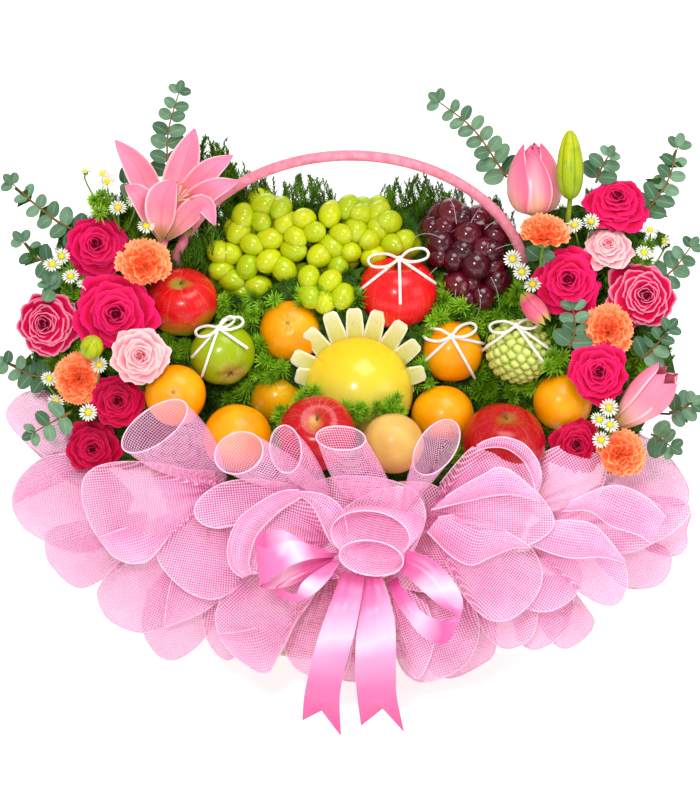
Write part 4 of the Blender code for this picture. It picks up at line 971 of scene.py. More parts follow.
def horn(heap, hems, root, root_out, mouth, long_half, short_half, turn, tilt, swell, gather, seed):
    """A loop of mesh rolled into a horn: from a gathered root to an open mouth."""
    rows, sides = 24, 44
    middle = np.asarray(mouth, float)
    start = np.array((root[0], root[1], root_out), float)
    angle = math.radians(turn)
    along = np.array((math.cos(angle), math.sin(angle), 0.0))
    out = np.array((0.0, 0.0, 1.0))
    away = unit((middle - start) * np.array((1, 1, 0)))
    over = np.array((-math.sin(angle), math.cos(angle), 0.0))
    if over @ away < 0:
        over = -over
    around = np.linspace(0, 2 * np.pi, sides, endpoint=False)
    rim = middle + along * long_half * np.cos(around)[:, None] + over * short_half * np.sin(around)[:, None]
    depth_of_rim = -short_half * np.sin(around) * tilt + 2.0 * np.sin(3 * around + seed)
    rim = rim + out * depth_of_rim[:, None]
    share = np.linspace(0, 1, rows)[:, None, None]
    pinch = gather * np.stack((np.cos(around) * along[0], np.cos(around) * along[1], np.sin(around) * 0.45), -1)
    places = (start + pinch) * (1 - share) + rim[None] * share
    widen = np.sin(np.pi * share ** 0.8) * swell / 12
    centre = places.mean(axis=1, keepdims=True)
    places = places + (places - centre) * widen * 0.7
    places = places + (rim - rim.mean(axis=0))[None] * widen * 0.35
    folds = np.sin(9 * around + seed)[None, :, None] * (1.6 * np.exp(-share * 2.2))
    places = places + folds * out
    ring = np.concatenate((places, places[:, :1]), axis=1)
    points = to_room(ring)
    heap.grid(points, woven_shades(points))
    hems.tube(points[-1], HEM, 5)


def band(heap, hems, outs, first, second, rows=12, columns=40):
    """A strip of mesh between two edges, hemmed along both."""
    near, far, swell = outs
    first, second = smooth_line(first, columns), smooth_line(second, columns)
    share = np.linspace(0, 1, rows)[:, None, None]
    flat = first[None] * (1 - share) + second[None] * share
    along = np.linspace(0, 1, columns)[None, :]
    depth = near + (far - near) * along + swell * np.sin(np.pi * share[..., 0]) * np.sin(np.pi * (0.1 + 0.8 * along))
    places = np.concatenate((flat, np.broadcast_to(depth, flat.shape[:2])[..., None]), -1)
    points = to_room(places)
    heap.grid(points, woven_shades(points))
    for line in (points[0], points[-1]):
        hems.tube(line, HEM, 5)


def mesh_finish(name, open_share, thread):
    """Open square weave of shiny thread: the holes let most of the light through."""
    made = Finish(name, roughness=0.42)
    threads = []
    for axis in (0, 1):
        steps = made.math("PINGPONG", made.math("DIVIDE", made.grain(axis), CELL), 0.5)
        threads.append(made.span(steps, thread, thread + 0.11, 1.0, 0.0))
    cross = made.math("MULTIPLY", *threads)
    either = made.math("MAXIMUM", *threads)
    base = made.over((244, 152, 200), (250, 182, 220), made.noise(26, 3), 0.35, 0.7)
    # Painted shade: a deeper pink toward the gathered root of each fold.
    base = made.over(base, (232, 112, 174), made.grain(2), 0.05, 0.62, 0.75, 0.0)
    # Painted light: paler toward the rim.
    base = made.over(base, (254, 210, 232), made.grain(2), 0.8, 1.0, 0.0, 0.45)
    # Painted shade in the holes, which take a deeper pink.
    tone = made.mix(either, made.mix(0.5, base, (226, 104, 166)), base)
    # Painted highlight where the threads cross.
    made.set("Base Color", made.mix(cross, tone, (254, 208, 232)))
    made.set("Alpha", made.span(either, 0, 1, open_share, 0.95))
    made.bump(either, 0.25, 0.0004)
    return made


def build_skirt():
    folded = mesh_finish("pink_mesh", 0.34, 0.11)
    single = mesh_finish("pink_mesh_single", 0.04, 0.05)
    cord = plain_finish("mesh_hem", 0.4, (250, 190, 220), (253, 214, 232), 300)
    groups = (
        ("skirt_mesh_back", folded, PETALS_BACK, (), (), 1, (0.25, 1.0)),
        ("skirt_mesh_front", folded, PETALS_FRONT, (), FLAPS, 40, (0.25, 1.35)),
        ("skirt_mesh_ruffle", single, (), HORNS, (), 80, (0.1, 0.45)),
        ("skirt_mesh_knot", folded, (), KNOT_HORNS, LOOP_BANDS, 120, (0.08, 0.3)),
    )
    for name, look, petals, horns, bands, seed, flat in groups:
        heap = Heap()
        hems = Heap()
        for number, shape in enumerate(petals):
            petal(heap, hems, *shape, seed + number)
        for number, shape in enumerate(horns):
            horn(heap, hems, *shape, seed + number)
        for shape in bands:
            band(heap, hems, *shape)
        piece = heap.make(name, look, "pink_mesh", ("mesh_skirt",))
        edging = hems.make(name + "_hems", cord, "pink_mesh")


# Satin bow: the two edges of each ribbon (right, up, out in mm).
SATIN_LOOPS = (
    (((-11, -172, 196), (-30, -171, 204), (-52, -160, 208), (-70, -160, 210), (-90, -167, 208), (-103, -161, 198),
      (-97, -151, 190), (-84, -148, 184), (-70, -149, 182), (-50, -160, 182), (-16, -174, 186)),
     ((-18, -177, 196), (-34, -178, 204), (-50, -181, 208), (-70, -189, 210), (-88, -203, 206), (-98, -208, 198),
      (-94, -211, 190), (-84, -212, 186), (-61, -207, 184), (-38, -193, 184), (-18, -179, 186))),
    (((-18, -180, 200), (-41, -195, 208), (-53, -206, 209), (-59, -217, 205), (-72, -213, 196), (-80, -209, 190),
      (-60, -198, 187), (-20, -180, 190)),
     ((-12, -184, 200), (-22, -200, 208), (-38, -216, 209), (-53, -224, 206), (-66, -225, 197), (-82, -216, 190),
      (-70, -207, 186), (-20, -184, 190))),
    (((62, -169, 186), (87, -178, 192), (109, -198, 196), (122, -222, 198), (119, -245, 205), (107, -268, 210),
      (91, -270, 212), (76, -261, 212), (60, -241, 210), (46, -220, 202), (42, -204, 178)),
     ((50, -188, 186), (71, -207, 192), (94, -227, 196), (111, -238, 198), (114, -241, 202), (103, -246, 208),
      (87, -242, 210), (76, -234, 210), (64, -219, 208), (55, -207, 200), (52, -198, 176))),
)
SATIN_TAILS = (
    (((-9, -193, 185), (-18, -218, 199), (-30, -250, 202), (-38, -276, 194), (-44, -300, 176), (-50, -330, 150),
      (-52, -356, 130)),
     ((16, -198, 185), (13, -219, 201), (8, -245, 204), (3, -268, 196), (-3, -290, 180), (-11, -328, 152),
      (-10, -373, 124)), 12),
    (((17, -198, 185), (12, -232, 200), (7, -262, 200), (6, -281, 194), (6, -306, 174), (8, -331, 150),
      (12, -362, 128)),
     ((33, -193, 185), (43, -222, 201), (49, -250, 202), (50, -286, 192), (50, -310, 172), (51, -330, 150),
      (59, -369, 124)), 14),
)


def satin_band(heap, edges, columns=9, notch=0.0, crease=1.2):
    """A ribbon between its two edges, creased where it is gathered, notched at its end if asked."""
    first, second = (smooth_line(edge, 60) for edge in edges)
    across = np.linspace(0, 1, columns)[None, :]
    share = across[..., None]
    places = first[:, None] * (1 - share) + second[:, None] * share
    along = np.linspace(0, 1, 60)[:, None]
    width = np.linalg.norm(second - first, axis=1)[:, None]
    gathered = np.exp(-np.minimum(along, along if notch else 1 - along) * 7)
    places[..., 2] += np.sin(np.pi * across) * np.minimum(3.0, width * 0.08) + crease * gathered * np.sin(across * 15)
    if notch:
        dip = notch * (1 - np.abs(across * 2 - 1)) * 1.6
        places[..., 1] += dip * np.clip((along - 0.8) / 0.2, 0, 1)
    points = to_room(places)
    heap.grid(points, shades_of(points, along, across, 1 if notch else 0))


def build_bow():
    heap = Heap()
    for edges in SATIN_LOOPS:
        satin_band(heap, edges)
    for first, second, notch in SATIN_TAILS:
        satin_band(heap, (first, second), 15, notch)
    made = Finish("pink_satin", roughness=0.3, anisotropic=0.6)
    # The ribbon is one pink; its ramps paint the light on it: white highlight bands, and painted shade toward the
    # knot and the ends.
    uneven = made.math("MULTIPLY", made.math("SUBTRACT", made.noise(30, 1), 0.5), 0.08)
    slant = made.math("MULTIPLY", made.grain(1), 0.07)
    place = made.math("ADD", made.grain(0), made.math("ADD", uneven, slant))
    tail_with_painted_light = made.ramp(
        place, (0.0, (204, 72, 136)), (0.18, (230, 120, 174)), (0.34, (243, 178, 212)), (0.42, (247, 200, 226)),
        (0.54, (238, 152, 196)), (0.74, (226, 112, 166)), (1.0, (216, 92, 150)),
    )
    # Loops: two painted highlight bands, with painted shade at both ends by the knot.
    loop = made.ramp(
        place, (0.0, (198, 62, 128)), (0.16, (226, 106, 164)), (0.28, (250, 208, 230)), (0.4, (232, 120, 176)),
        (0.6, (220, 92, 154)), (0.72, (246, 190, 220)), (0.84, (224, 98, 160)), (1.0, (198, 60, 128)),
    )
    made.set("Base Color", made.mix(made.grain(2), loop, tail_with_painted_light))
    piece = heap.make("satin_bow_ribbon", made, "pink_satin", ("satin_bow",))


# The rose heads: right, up, out and diameter (mm).
ROSES = {
    "rose_deep_a": (-277, 161, 45, 70), "rose_deep_b": (-256, 87, 92, 86), "rose_two_tone_a": (-331, 76, 58, 70),
    "rose_blush_a": (-229, 41, 122, 62), "rose_deep_c": (-254, -8, 92, 57), "rose_deep_d": (-281, -59, 62, 56),
    "rose_deep_e": (292, 209, 45, 68), "rose_blush_b": (283, 160, 62, 52), "rose_deep_f": (239, 125, 72, 73),
    "rose_two_tone_b": (320, 107, 55, 73), "rose_deep_g": (272, 23, 92, 63), "rose_deep_h": (248, -56, 74, 57),
}
# Where a rose doesn't face the viewer squarely: right, up, out.
ROSE_TURNS = {
    "rose_deep_e": (0.1, 0.55, 0.8), "rose_blush_b": (0.0, 0.5, 0.85), "rose_two_tone_b": (0.25, 0.1, 0.95),
    "rose_deep_a": (-0.1, 0.25, 0.95), "rose_deep_d": (-0.1, -0.1, 1.0), "rose_two_tone_a": (-0.3, 0.05, 0.95),
}
# The carnations: right, up, out, diameter (mm) and where each faces.
CARNATIONS = {
    "carnation_a": (-225, 144, 86, 60, (0.05, 0.55, 0.85)), "carnation_b": (-298, 17, 70, 57, (-0.1, 0, 1)),
    "carnation_c": (212, 178, 86, 57, (0.1, 0.9, 0.5)), "carnation_d": (283, 70, 74, 57, (0, 0.1, 1)),
    "carnation_e": (297, -65, 88, 55, (0.3, 0.1, 0.9)),
}
# How long a flower's stalk is (m).
STALK = 0.04


def rose(heap, centre, radius, axes, seed, petals=30):
    """Petals wound at the golden angle, upright in the heart and rolled back at the edge."""
    draw = random.Random(seed)
    heap.ball(centre + axes[2] * radius * 0.2, oval_profile(radius * 0.17, radius * 0.3), 12, axes)
    share = np.linspace(0, 1, 9)[:, None]
    across = np.linspace(-1, 1, 13)[None, :]
    for index in range(petals):
        order = index / (petals - 1)
        turn = index * GOLDEN_TURN + draw.uniform(-0.2, 0.2)
        root = (0.04 + 0.16 * order) * radius
        edge = (0.08 + 0.93 * order ** 0.85) * radius * draw.uniform(0.9, 1.1)
        top = (0.56 - 0.62 * order ** 1.25) * radius
        bottom = -0.42 * radius
        half = 1.7 - 0.95 * order
        wave = draw.uniform(0, 6.28)
        bow = share ** (1.7 - 0.8 * order)
        reach = root + (edge - root) * bow
        roll = np.clip((share - 0.7) / 0.3, 0, 1) ** 2
        reach = reach + roll * radius * (0.03 + 0.13 * order) * (1 - 0.9 * np.abs(across) ** 1.4)
        ripple = 0.05 * np.sin(6 * across + wave) + 0.022 * np.sin(13 * across + wave)
        reach = reach + roll * radius * (0.3 + order) * ripple
        height = bottom + (top - bottom) * np.sin(share * np.pi / 2) ** (0.75 + 0.3 * order)
        height = height - roll * radius * (0.02 + 0.15 * order) * (1 + 0.4 * np.sin(5 * across + wave))
        notch = 0.10 * radius * share ** 2 * np.abs(across) ** 2.4 * (0.5 + order)
        height = height - notch + 0.02 * radius * share * np.sin(3.3 * across + wave)
        reach = reach * (1 - 0.06 * share * np.abs(across) ** 2) + 0.02 * radius * share * np.cos(4 * across + wave)
        angle = turn + across * half * (0.55 + 0.45 * np.sin(share * np.pi * 0.62))
        local = np.stack((reach * np.cos(angle), reach * np.sin(angle), height + 0 * across), -1)
        heap.grid(local @ axes + centre, shades_of(local, share, order, np.abs(across)))


def petal_finish(name, heart, main, edge, vein, rim=0.87, gloss=0.45, painted_glow=0.0):
    # Glow is painted light: emission in the main colour.
    made = Finish(name, roughness=gloss, specular_ior_level=0.06,
                  emission_color=rgb(*main), emission_strength=painted_glow)
    # Painted shade: the heart colour darkens the inner petals and each petal's base, where the petals shade each
    # other.
    tone = made.ramp(made.grain(1), (0.0, heart), (0.3, main), (1.0, main))
    tone = made.over(tone, heart, made.grain(0), 0.48, 0.94, 1.0, 0.0)
    # The rim takes the edge colour: partly the petals' own paler edges, partly painted highlight.
    tone = made.over(tone, edge, made.grain(0), rim, 1.0)
    veins = made.streaks(3, 0.6, (2, 26.0), (0, 3.0), (1, 1.0))
    made.set("Base Color", made.over(tone, vein, veins, 0.5, 0.75, 0, 0.45))
    made.bump(veins, 0.15, 0.0005)
    return made


LEAF_GREEN = plain_finish("leaf_green", 0.5, (70, 112, 32), (120, 160, 58), 120, 3)


def stem_of(heap, centre, axes, radius):
    """A stalk behind a flower head, with a small green cup under it."""
    forward = axes[2]
    heap.ball(centre - forward * radius * 0.42, oval_profile(radius * 0.34, radius * 0.26, fullness=0.7), 12, axes)
    end = centre - forward * (radius * 0.6 + STALK) * 0.6 - np.array((0, 0, STALK * 0.5))
    path = [centre * (1 - t) + end * t - forward * radius * 0.4 * math.sin(math.pi * t) for t in np.linspace(0, 1, 6)]
    heap.tube(path, 0.0022, 6)


# A peak that stands for a leaf with an oval outline.
OVAL_LEAF = -1


def leaf_blade(heap, line, half, facing, cup=0.3, number=0.0, rows=10, columns=6, wave=0.0, peak=0.5):
    """A leaf or petal along a line, widest at the peak share and folded a little along its middle."""
    share = np.linspace(0, 1, rows + 1)
    if peak == OVAL_LEAF:
        share = (1 - np.cos(share * np.pi)) / 2
    line = sampled(smooth_line(line, 60), np.linspace(0, 1, 60), share)
    along = unit_rows(np.gradient(line, axis=0))
    side = unit_rows(np.cross(along, np.asarray(facing)))
    up = np.cross(side, along)
    if peak == OVAL_LEAF:
        width = half * np.sqrt(np.maximum(0.0, 1 - (2 * share - 1) ** 2)) * (1.04 - 0.12 * share)
    else:
        bell = np.where(share < peak, np.sin(share / peak * np.pi / 2) ** (1.2 if wave else 0.8),
                        np.cos((share - peak) / (1 - peak) * np.pi / 2) ** 0.75)
        width = half * np.maximum(bell, 0.06)
    across = np.linspace(-1, 1, columns + 1)[None, :]
    share, width = share[:, None], width[:, None]
    places = line[:, None] + side[:, None] * (across * width)[..., None]
    lift = cup * width * (across ** 2 - 0.4)
    lift = lift + wave * half * share * np.sin(9 * share + 3 * across) * np.abs(across)
    heap.grid(places + up[:, None] * lift[..., None], shades_of(places, share, np.abs(across), number))


# Each kind of rose: the letters of its roses, its finish with heart, main, edge and vein colours,
# and where its edge starts. The heart colour is painted shade at the centre and petal bases; the
# edge colour is partly the petals' own paler rims and partly painted highlight.
ROSE_KINDS = {
    "rose_deep": ("abefg", "rose_magenta", (92, 0, 20), (204, 0, 56), (240, 34, 112), (160, 0, 38)),
    "rose_crimson": ("cdh", "rose_crimson", (72, 0, 14), (172, 0, 42), (222, 22, 84), (130, 0, 28)),
    "rose_blush": ("ab", "rose_blush", (208, 88, 106), (230, 142, 154), (250, 208, 206), (218, 114, 132)),
    "rose_two_tone": ("ab", "rose_two_tone", (110, 0, 34), (206, 0, 62), (250, 160, 192), (168, 0, 46), 0.93),
}


def build_roses():
    stems = Heap()
    for kind, (letters, *look) in ROSE_KINDS.items():
        kind_of_node = kind.replace("crimson", "deep")
        names = [kind_of_node + "_" + letter for letter in letters]
        heap = Heap()
        for seed, name in enumerate(names):
            centre, radius, axes = seat(*ROSES[name], ROSE_TURNS.get(name, (0.0, 0.05, 1.0)), seed * 1.7)
            rose(heap, centre, radius * 0.98, axes, seed * 7 + 3)
            stem_of(stems, centre, axes, radius)
            for leaf in range(5):
                away = spoke(axes, leaf * 1.2566)
                line = [centre - axes[2] * radius * 0.5 + away * radius * t - axes[2] * radius * 0.25 * t * t
                        for t in (0.15, 0.5, 0.85)]
                leaf_blade(stems, np.array(line), radius * 0.16, axes[2], 0.2, leaf, 5, 4)
        heap.make(kind + "_petals", petal_finish(*look), kind_of_node, names)
    stems.make("rose_stalks", LEAF_GREEN, "rose_deep")


def build_carnations():
    heap = Heap()
    stems = Heap()
    across = np.linspace(-1, 1, 13)[None, :]
    share = np.linspace(0.12, 1, 6)[:, None]
    frill = np.where(np.arange(13) % 2 == 0, 1.0, -1.0)[None, :]
    count = 52
    for seed, place in enumerate(CARNATIONS.values()):
        draw = random.Random(seed + 50)
        centre, radius, axes = seat(*place, seed)
        for index in range(count):
            order = (index + 0.5) / count
            polar = 0.12 + 1.5 * order ** 0.72
            turn = index * GOLDEN_TURN + draw.uniform(-0.3, 0.3)
            away = np.array((math.sin(polar) * math.cos(turn), math.sin(polar) * math.sin(turn), math.cos(polar)))
            spin = draw.uniform(0, 3.14) if order < 0.3 else turn + math.pi / 2 + draw.uniform(-0.5, 0.5)
            lateral = np.array((math.cos(spin), math.sin(spin), 0.0))
            lateral = unit(lateral - away * (lateral @ away))
            over = np.cross(away, lateral)
            length = radius * (0.84 + 0.26 * draw.random()) * (1 - 0.10 * (1 - order))
            width = radius * (0.34 + 0.18 * draw.random())
            reach = share * length * (1 - 0.10 * across ** 2) + frill * radius * 0.04 * share ** 6
            wave = np.sin(across * 6 + draw.uniform(0, 6))
            lift = radius * 0.10 * share ** 2 * wave + frill * radius * 0.025 * share ** 3
            spread = across * width * share ** 0.8
            local = away * reach[..., None] + lateral * spread[..., None] + over * lift[..., None]
            local = local - np.array((0, 0, 0.35 * radius)) * (1 - share[..., None])
            local[..., 2] = local[..., 2] * 0.72 - 0.1 * radius
            heap.grid(local @ axes + centre, shades_of(local, share, order, np.abs(across)))
        stem_of(stems, centre, axes, radius)
    # Its heart colour is painted shade among the frills, and its faint coral glow is painted light.
    look = petal_finish("carnation_coral", (248, 104, 48), (254, 146, 88), (255, 184, 136), (248, 116, 62),
                        0.86, 0.6, 0.12)
    heap.make("carnation_petals", look, "carnation", tuple(CARNATIONS))
    stems.make("carnation_stalks", LEAF_GREEN, "carnation")


# Lily petals: line from the base of the trumpet (right, up, out in mm), half width, widest share.
LILY_PETALS = (
    (((-205, 166, 40), (-197, 204, 62), (-183, 248, 66), (-170, 291, 56)), 18, 0.62),
    (((-206, 166, 40), (-214, 206, 66), (-232, 246, 80), (-257, 278, 74)), 16, 0.6),
    (((-208, 166, 46), (-217, 198, 86), (-231, 218, 108), (-246, 228, 98)), 14, 0.62),
    (((-203, 166, 44), (-182, 206, 76), (-156, 242, 92), (-128, 261, 84)), 15, 0.62),
    (((-202, 166, 46), (-179, 200, 88), (-151, 223, 108), (-122, 233, 104)), 14, 0.62),
    (((-202, 166, 50), (-182, 190, 94), (-160, 207, 116), (-147, 184, 120)), 13, 0.6),
    (((-206, 166, 52), (-207, 190, 86), (-204, 214, 108), (-192, 234, 114)), 18, 0.72),
)


def cup_petal(heap, centre, axes, profile, turn, half, number, rows=14, columns=10, flare=0.0):
    """One petal of a closed flower, following a turned profile of (radius, height)."""
    profile = smooth_line(profile, rows)
    share = np.linspace(0, 1, rows)[:, None]
    across = np.linspace(-1, 1, columns)[None, :]
    narrowing = np.sin(np.pi * np.clip(share * 0.86 + 0.08, 0, 1)) ** 0.55
    narrowing[-1] = 0.12
    angle = turn + across * half * narrowing
    radius = profile[:, :1] * (1 + flare * share ** 3 * (1 - across ** 2) + 0.05 * across)
    height = profile[:, 1:] - 0.05 * profile[-1, 1] * share * across ** 2
    local = np.stack((radius * np.cos(angle), radius * np.sin(angle), height + 0 * across), -1)
    heap.grid(local @ axes + centre, shades_of(local, share, np.abs(across), number))


# The half-open lily's petals, from their base: (radius, height) in metres.
HALF_OPEN = ((0.0055, 0), (0.0125, 0.014), (0.0195, 0.034), (0.0225, 0.052), (0.0205, 0.070), (0.014, 0.088))


def build_lilies():
    heap = Heap()
    facing = face_direction(-0.1, 0.15, 1.0)
    for number, (line, half, widest) in enumerate(LILY_PETALS):
        leaf_blade(heap, to_room(line), half * MM, facing, 0.45, number / 7, 24, 10, 0.10, widest)
    heap.tube([on_face(-208, 148, 30), on_face(-206, 158, 38), on_face(-205, 168, 46)], (0.003, 0.004, 0.006), 10)
    made = Finish("lily_petal", roughness=0.42, subsurface_weight=0.15, subsurface_radius=(0.004, 0.002, 0.002))
    tone = made.ramp(
        made.grain(0), (0.0, (140, 146, 34)), (0.18, (206, 168, 104)), (0.36, (244, 172, 178)),
        (0.6, (238, 136, 158)), (1.0, (238, 122, 154)),
    )
    tone = made.over(tone, (253, 218, 224), made.grain(1), 0.82, 1.0)
    tone = made.over(tone, (216, 96, 120), made.grain(1), 0.0, 0.1, 0.5, 0.0)
    ribs = made.streaks(2, 0.5, (1, 24.0), (0, 1.0), (2, 1.0))
    made.set("Base Color", made.over(tone, (240, 108, 156), ribs, 0.5, 0.7, 0, 0.4))
    made.bump(ribs, 0.2, 0.0006)
    heap.make("lily_petals", made, "lily_pink", ("lily",))
    threads = Heap()
    for index in range(6):
        angle = -0.6 + index * 0.42
        tip = np.array((-188 + 15 * math.cos(angle + 0.6), 216 + 15 * math.sin(angle + 0.4), 112 - index))
        line = to_room(smooth_line(((-196, 196, 76), (-190, 210, 98), tip), 8))
        threads.tube(line, 0.0007, 5)
        end = line[-1]
        anther = [end - RIGHT * 0.0025, end, end + RIGHT * 0.0025 + UPWARD * 0.001]
        threads.tube(anther, (0.0006, 0.0011, 0.0006), 6, 1)
    look = Finish("lily_thread", roughness=0.6)
    look.set("Base Color", look.mix(look.grain(2), (232, 196, 150), (196, 104, 40)))
    threads.make("lily_threads", look, "lily_pink")
    opening = Heap()
    axes = axes_to(face_direction(0.68, 0.66, 0.35), 0.4)
    for turn in range(6):
        cup_petal(opening, on_face(292, -35, 68), axes, HALF_OPEN, turn * 1.047, 0.92 + 0.1 * (turn % 2), turn / 6,
                  18, 10, 0.3 if turn % 2 else -0.14)
    opening.make("half_open_lily", made, "bud_pink", ("lily_opening",))


# The tulip: where its base is, how much of their height its petals keep, and each ring of petals
# as (radius, height) in metres.
TULIP_BASE = (204, 196, 34)
TULIP_HEIGHT = 0.93
TULIP_SIDE = (
    (0.006, 0), (0.023, 0.008), (0.0305, 0.026), (0.0295, 0.046), (0.0235, 0.064), (0.0155, 0.078), (0.009, 0.086),
)
TULIP_INNER = ((0.006, 0), (0.022, 0.010), (0.0275, 0.030), (0.0245, 0.052), (0.015, 0.070), (0.002, 0.084))
TULIP_FRONT = (
    (0.0065, 0), (0.0245, 0.008), (0.032, 0.026), (0.031, 0.044), (0.0262, 0.060), (0.020, 0.072), (0.0125, 0.080),
)


def build_tulip():
    tulip = Heap()
    axes = axes_to(face_direction(-0.05, 0.97, 0.1), 0.2)
    front = math.atan2(OUTWARD @ axes[1], OUTWARD @ axes[0])

    def add_petal(profile, *shape):
        profile = [(wide, high * TULIP_HEIGHT) for wide, high in profile]
        cup_petal(tulip, on_face(*TULIP_BASE), axes, profile, *shape)

    for turn in range(5):
        add_petal(TULIP_INNER, front + turn * 1.257 + 0.6, 1.1, 0.2 + turn / 9, 20, 12, -0.06)
    for turn in (1.4, -1.4, 2.9):
        add_petal(TULIP_SIDE, front + turn, 1.3, 0.5 + turn / 12, 20, 14, 0.04)
    add_petal(TULIP_FRONT, front - 0.05, 0.66, 0.9, 22, 14)
    made = Finish("tulip_petal", roughness=0.36, subsurface_weight=0.15, subsurface_radius=(0.004, 0.002, 0.002))
    tone = made.ramp(
        made.grain(0), (0.0, (220, 190, 84)), (0.2, (240, 196, 160)), (0.48, (238, 138, 160)), (1.0, (226, 88, 128)),
    )
    middle, low = made.span(made.grain(1), 0.0, 0.5, 0.8, 0.0), made.span(made.grain(0), 0.2, 0.85, 1.0, 0.0)
    tone = made.mix(made.math("MULTIPLY", middle, low), tone, (246, 222, 184))
    tone = made.over(tone, (222, 84, 124), made.grain(1), 0.5, 0.84, 0, 0.7)
    tone = made.over(tone, (252, 206, 214), made.grain(1), 0.88, 0.98, 0, 0.9)
    lines = made.streaks(3, 0.5, (1, 30.0), (0, 1.0), (2, 1.0))
    made.set("Base Color", made.over(tone, (236, 106, 150), lines, 0.48, 0.72, 0, 0.5))
    made.bump(lines, 0.15, 0.0006)
    tulip.make("tulip_petals", made, "tulip_pink", ("tulip",))


def build_green_buds():
    """The ribbed lily bud on its stalk and a small round bud."""
    bud = Heap()
    length, radius = 0.076, 0.0148
    profile = oval_profile(radius, length / 2, 30, 0.9)
    profile[:, 0] *= 1 - 0.2 * np.cos(np.linspace(0, np.pi, 30))

    def ribbed(radii, heights, around):
        return radii * (1 - 0.09 * np.abs(np.cos(3 * around)) ** 8), heights

    bud.ball(on_face(241, 251, 70), profile, 42, axes_to(face_direction(0, 1, 0.05), 0.9), 0.0, ribbed)
    small = oval_profile(0.0128, 0.0142, 30)
    bud.ball(on_face(-282, 51, 112), small, 24, axes_to(face_direction(0.2, 0.6, 0.6)), 1.0)
    bud.tube([on_face(241, 214, 66), on_face(239, 190, 60), on_face(236, 160, 40)], 0.0028, 8)
    look = Finish("bud_skin", roughness=0.35)
    tone = look.ramp(look.grain(0), (0.0, (170, 176, 14)), (0.3, (176, 184, 4)), (1.0, (120, 154, 20)))
    tone = look.over(tone, (110, 146, 20), look.noise(90, 3), 0.5, 0.7, 0, 0.5)
    rib = look.math("PINGPONG", look.grain(1), 1 / 6)
    look.set("Base Color", look.over(tone, (84, 112, 8), rib, 0.0, 0.035, 0.65, 0.0))
    bud.make("green_buds", look, "bud_green", ("lily_bud", "green_bud"))


def build_rose_bud():
    tip = Heap()
    axes = axes_to(face_direction(0.62, -0.75, 0.1), 0.3)
    profile = ((0.002, 0), (0.008, 0.006), (0.0125, 0.018), (0.0115, 0.032), (0.006, 0.044))
    for turn in range(5):
        cup_petal(tip, on_face(188, 110, 82), axes, profile, turn * 1.257, 0.75, turn / 5, 14, 8)
    look = Finish("rose_bud_skin", roughness=0.4)
    look.set("Base Color", look.ramp(
        look.grain(0), (0.0, (140, 170, 50)), (0.3, (200, 70, 100)), (0.7, (222, 104, 128)), (1.0, (168, 184, 50)),
    ))
    tip.make("rose_bud_petals", look, "bud_pink", ("rose_bud",))


# About half the length of a eucalyptus leaf (m).
LEAF_SIZE = 0.0105
# Eucalyptus: start, bend and end (right, up, out) and how many pairs of leaves.
SPRIGS = (
    ((-200, 236, 20), (-200, 286, 16), (-188, 332, 12), 6),
    ((-290, 172, 26), (-330, 196, 30), (-371, 231, 30), 5),
    ((-322, 142, 30), (-345, 150, 26), (-360, 168, 26), 2),
    ((-330, 16, 40), (-352, 22, 40), (-376, 33, 40), 3),
    ((-305, -20, 96), (-328, -32, 100), (-345, -42, 98), 2),
    ((172, 238, 20), (136, 290, 30), (97, 321, 40), 7),
    ((270, 232, 30), (276, 248, 36), (284, 262, 40), 2),
    ((322, 196, 24), (348, 232, 30), (360, 272, 30), 5),
    ((338, 122, 30), (358, 140, 34), (374, 162, 40), 3),
    ((318, 38, 60), (334, 52, 64), (349, 71, 66), 3),
    ((350, -20, 46), (364, -16, 48), (375, -10, 50), 2),
    ((240, 50, 82), (246, 72, 84), (244, 94, 80), 3),
    ((-248, 230, 30), (-246, 232, 40), (-242, 234, 44), 1),
    ((-326, 112, 60), (-328, 116, 66), (-330, 120, 68), 1),
    ((205, 146, 66), (208, 150, 70), (210, 154, 72), 1),
    ((330, -44, 50), (342, -50, 54), (352, -58, 56), 2),
)
# A daisy: its radius (m) and its petals.
DAISY_RADIUS, DAISY_PETALS = 0.0098, 17
# Daisies: right, up and out (mm), and how far each faces the viewer.
DAISIES = (
    (-290, 244, 50, 0.2), (-271, 241, 60, 0.8), (-266, 233, 64, 1.0), (-254, 204, 74, 0.9), (-236, 213, 70, 0.9),
    (-223, 184, 84, 0.9), (-316, 151, 62, 1.0), (-326, 142, 66, 0.8), (-306, 129, 70, 0.9), (-290, 120, 76, 0.6),
    (-274, 32, 100, 1.0), (-329, 17, 76, 0.9), (-322, -8, 76, 0.9), (-286, -20, 108, 1.0),
    (178, 148, 72, 1.0), (188, 134, 72, 1.0), (200, 120, 72, 0.9), (246, 185, 66, 0.9), (264, 189, 62, 1.0),
    (343, 168, 50, 0.9), (322, 155, 62, 0.9), (329, 180, 50, 0.6), (283, -15, 104, 1.0), (272, -28, 106, 0.9),
    (284, -34, 108, 0.9), (274, -50, 106, 1.0), (344, 11, 62, 0.9),
)
# Where the daisies' stalks meet: right, up, out.
DAISY_HUBS = (
    (-250, 168, 36), (-300, 100, 36), (-300, -20, 50), (-280, -10, 70), (196, 110, 40), (256, 150, 40),
    (320, 124, 30), (272, -60, 70), (320, 0, 40),
)


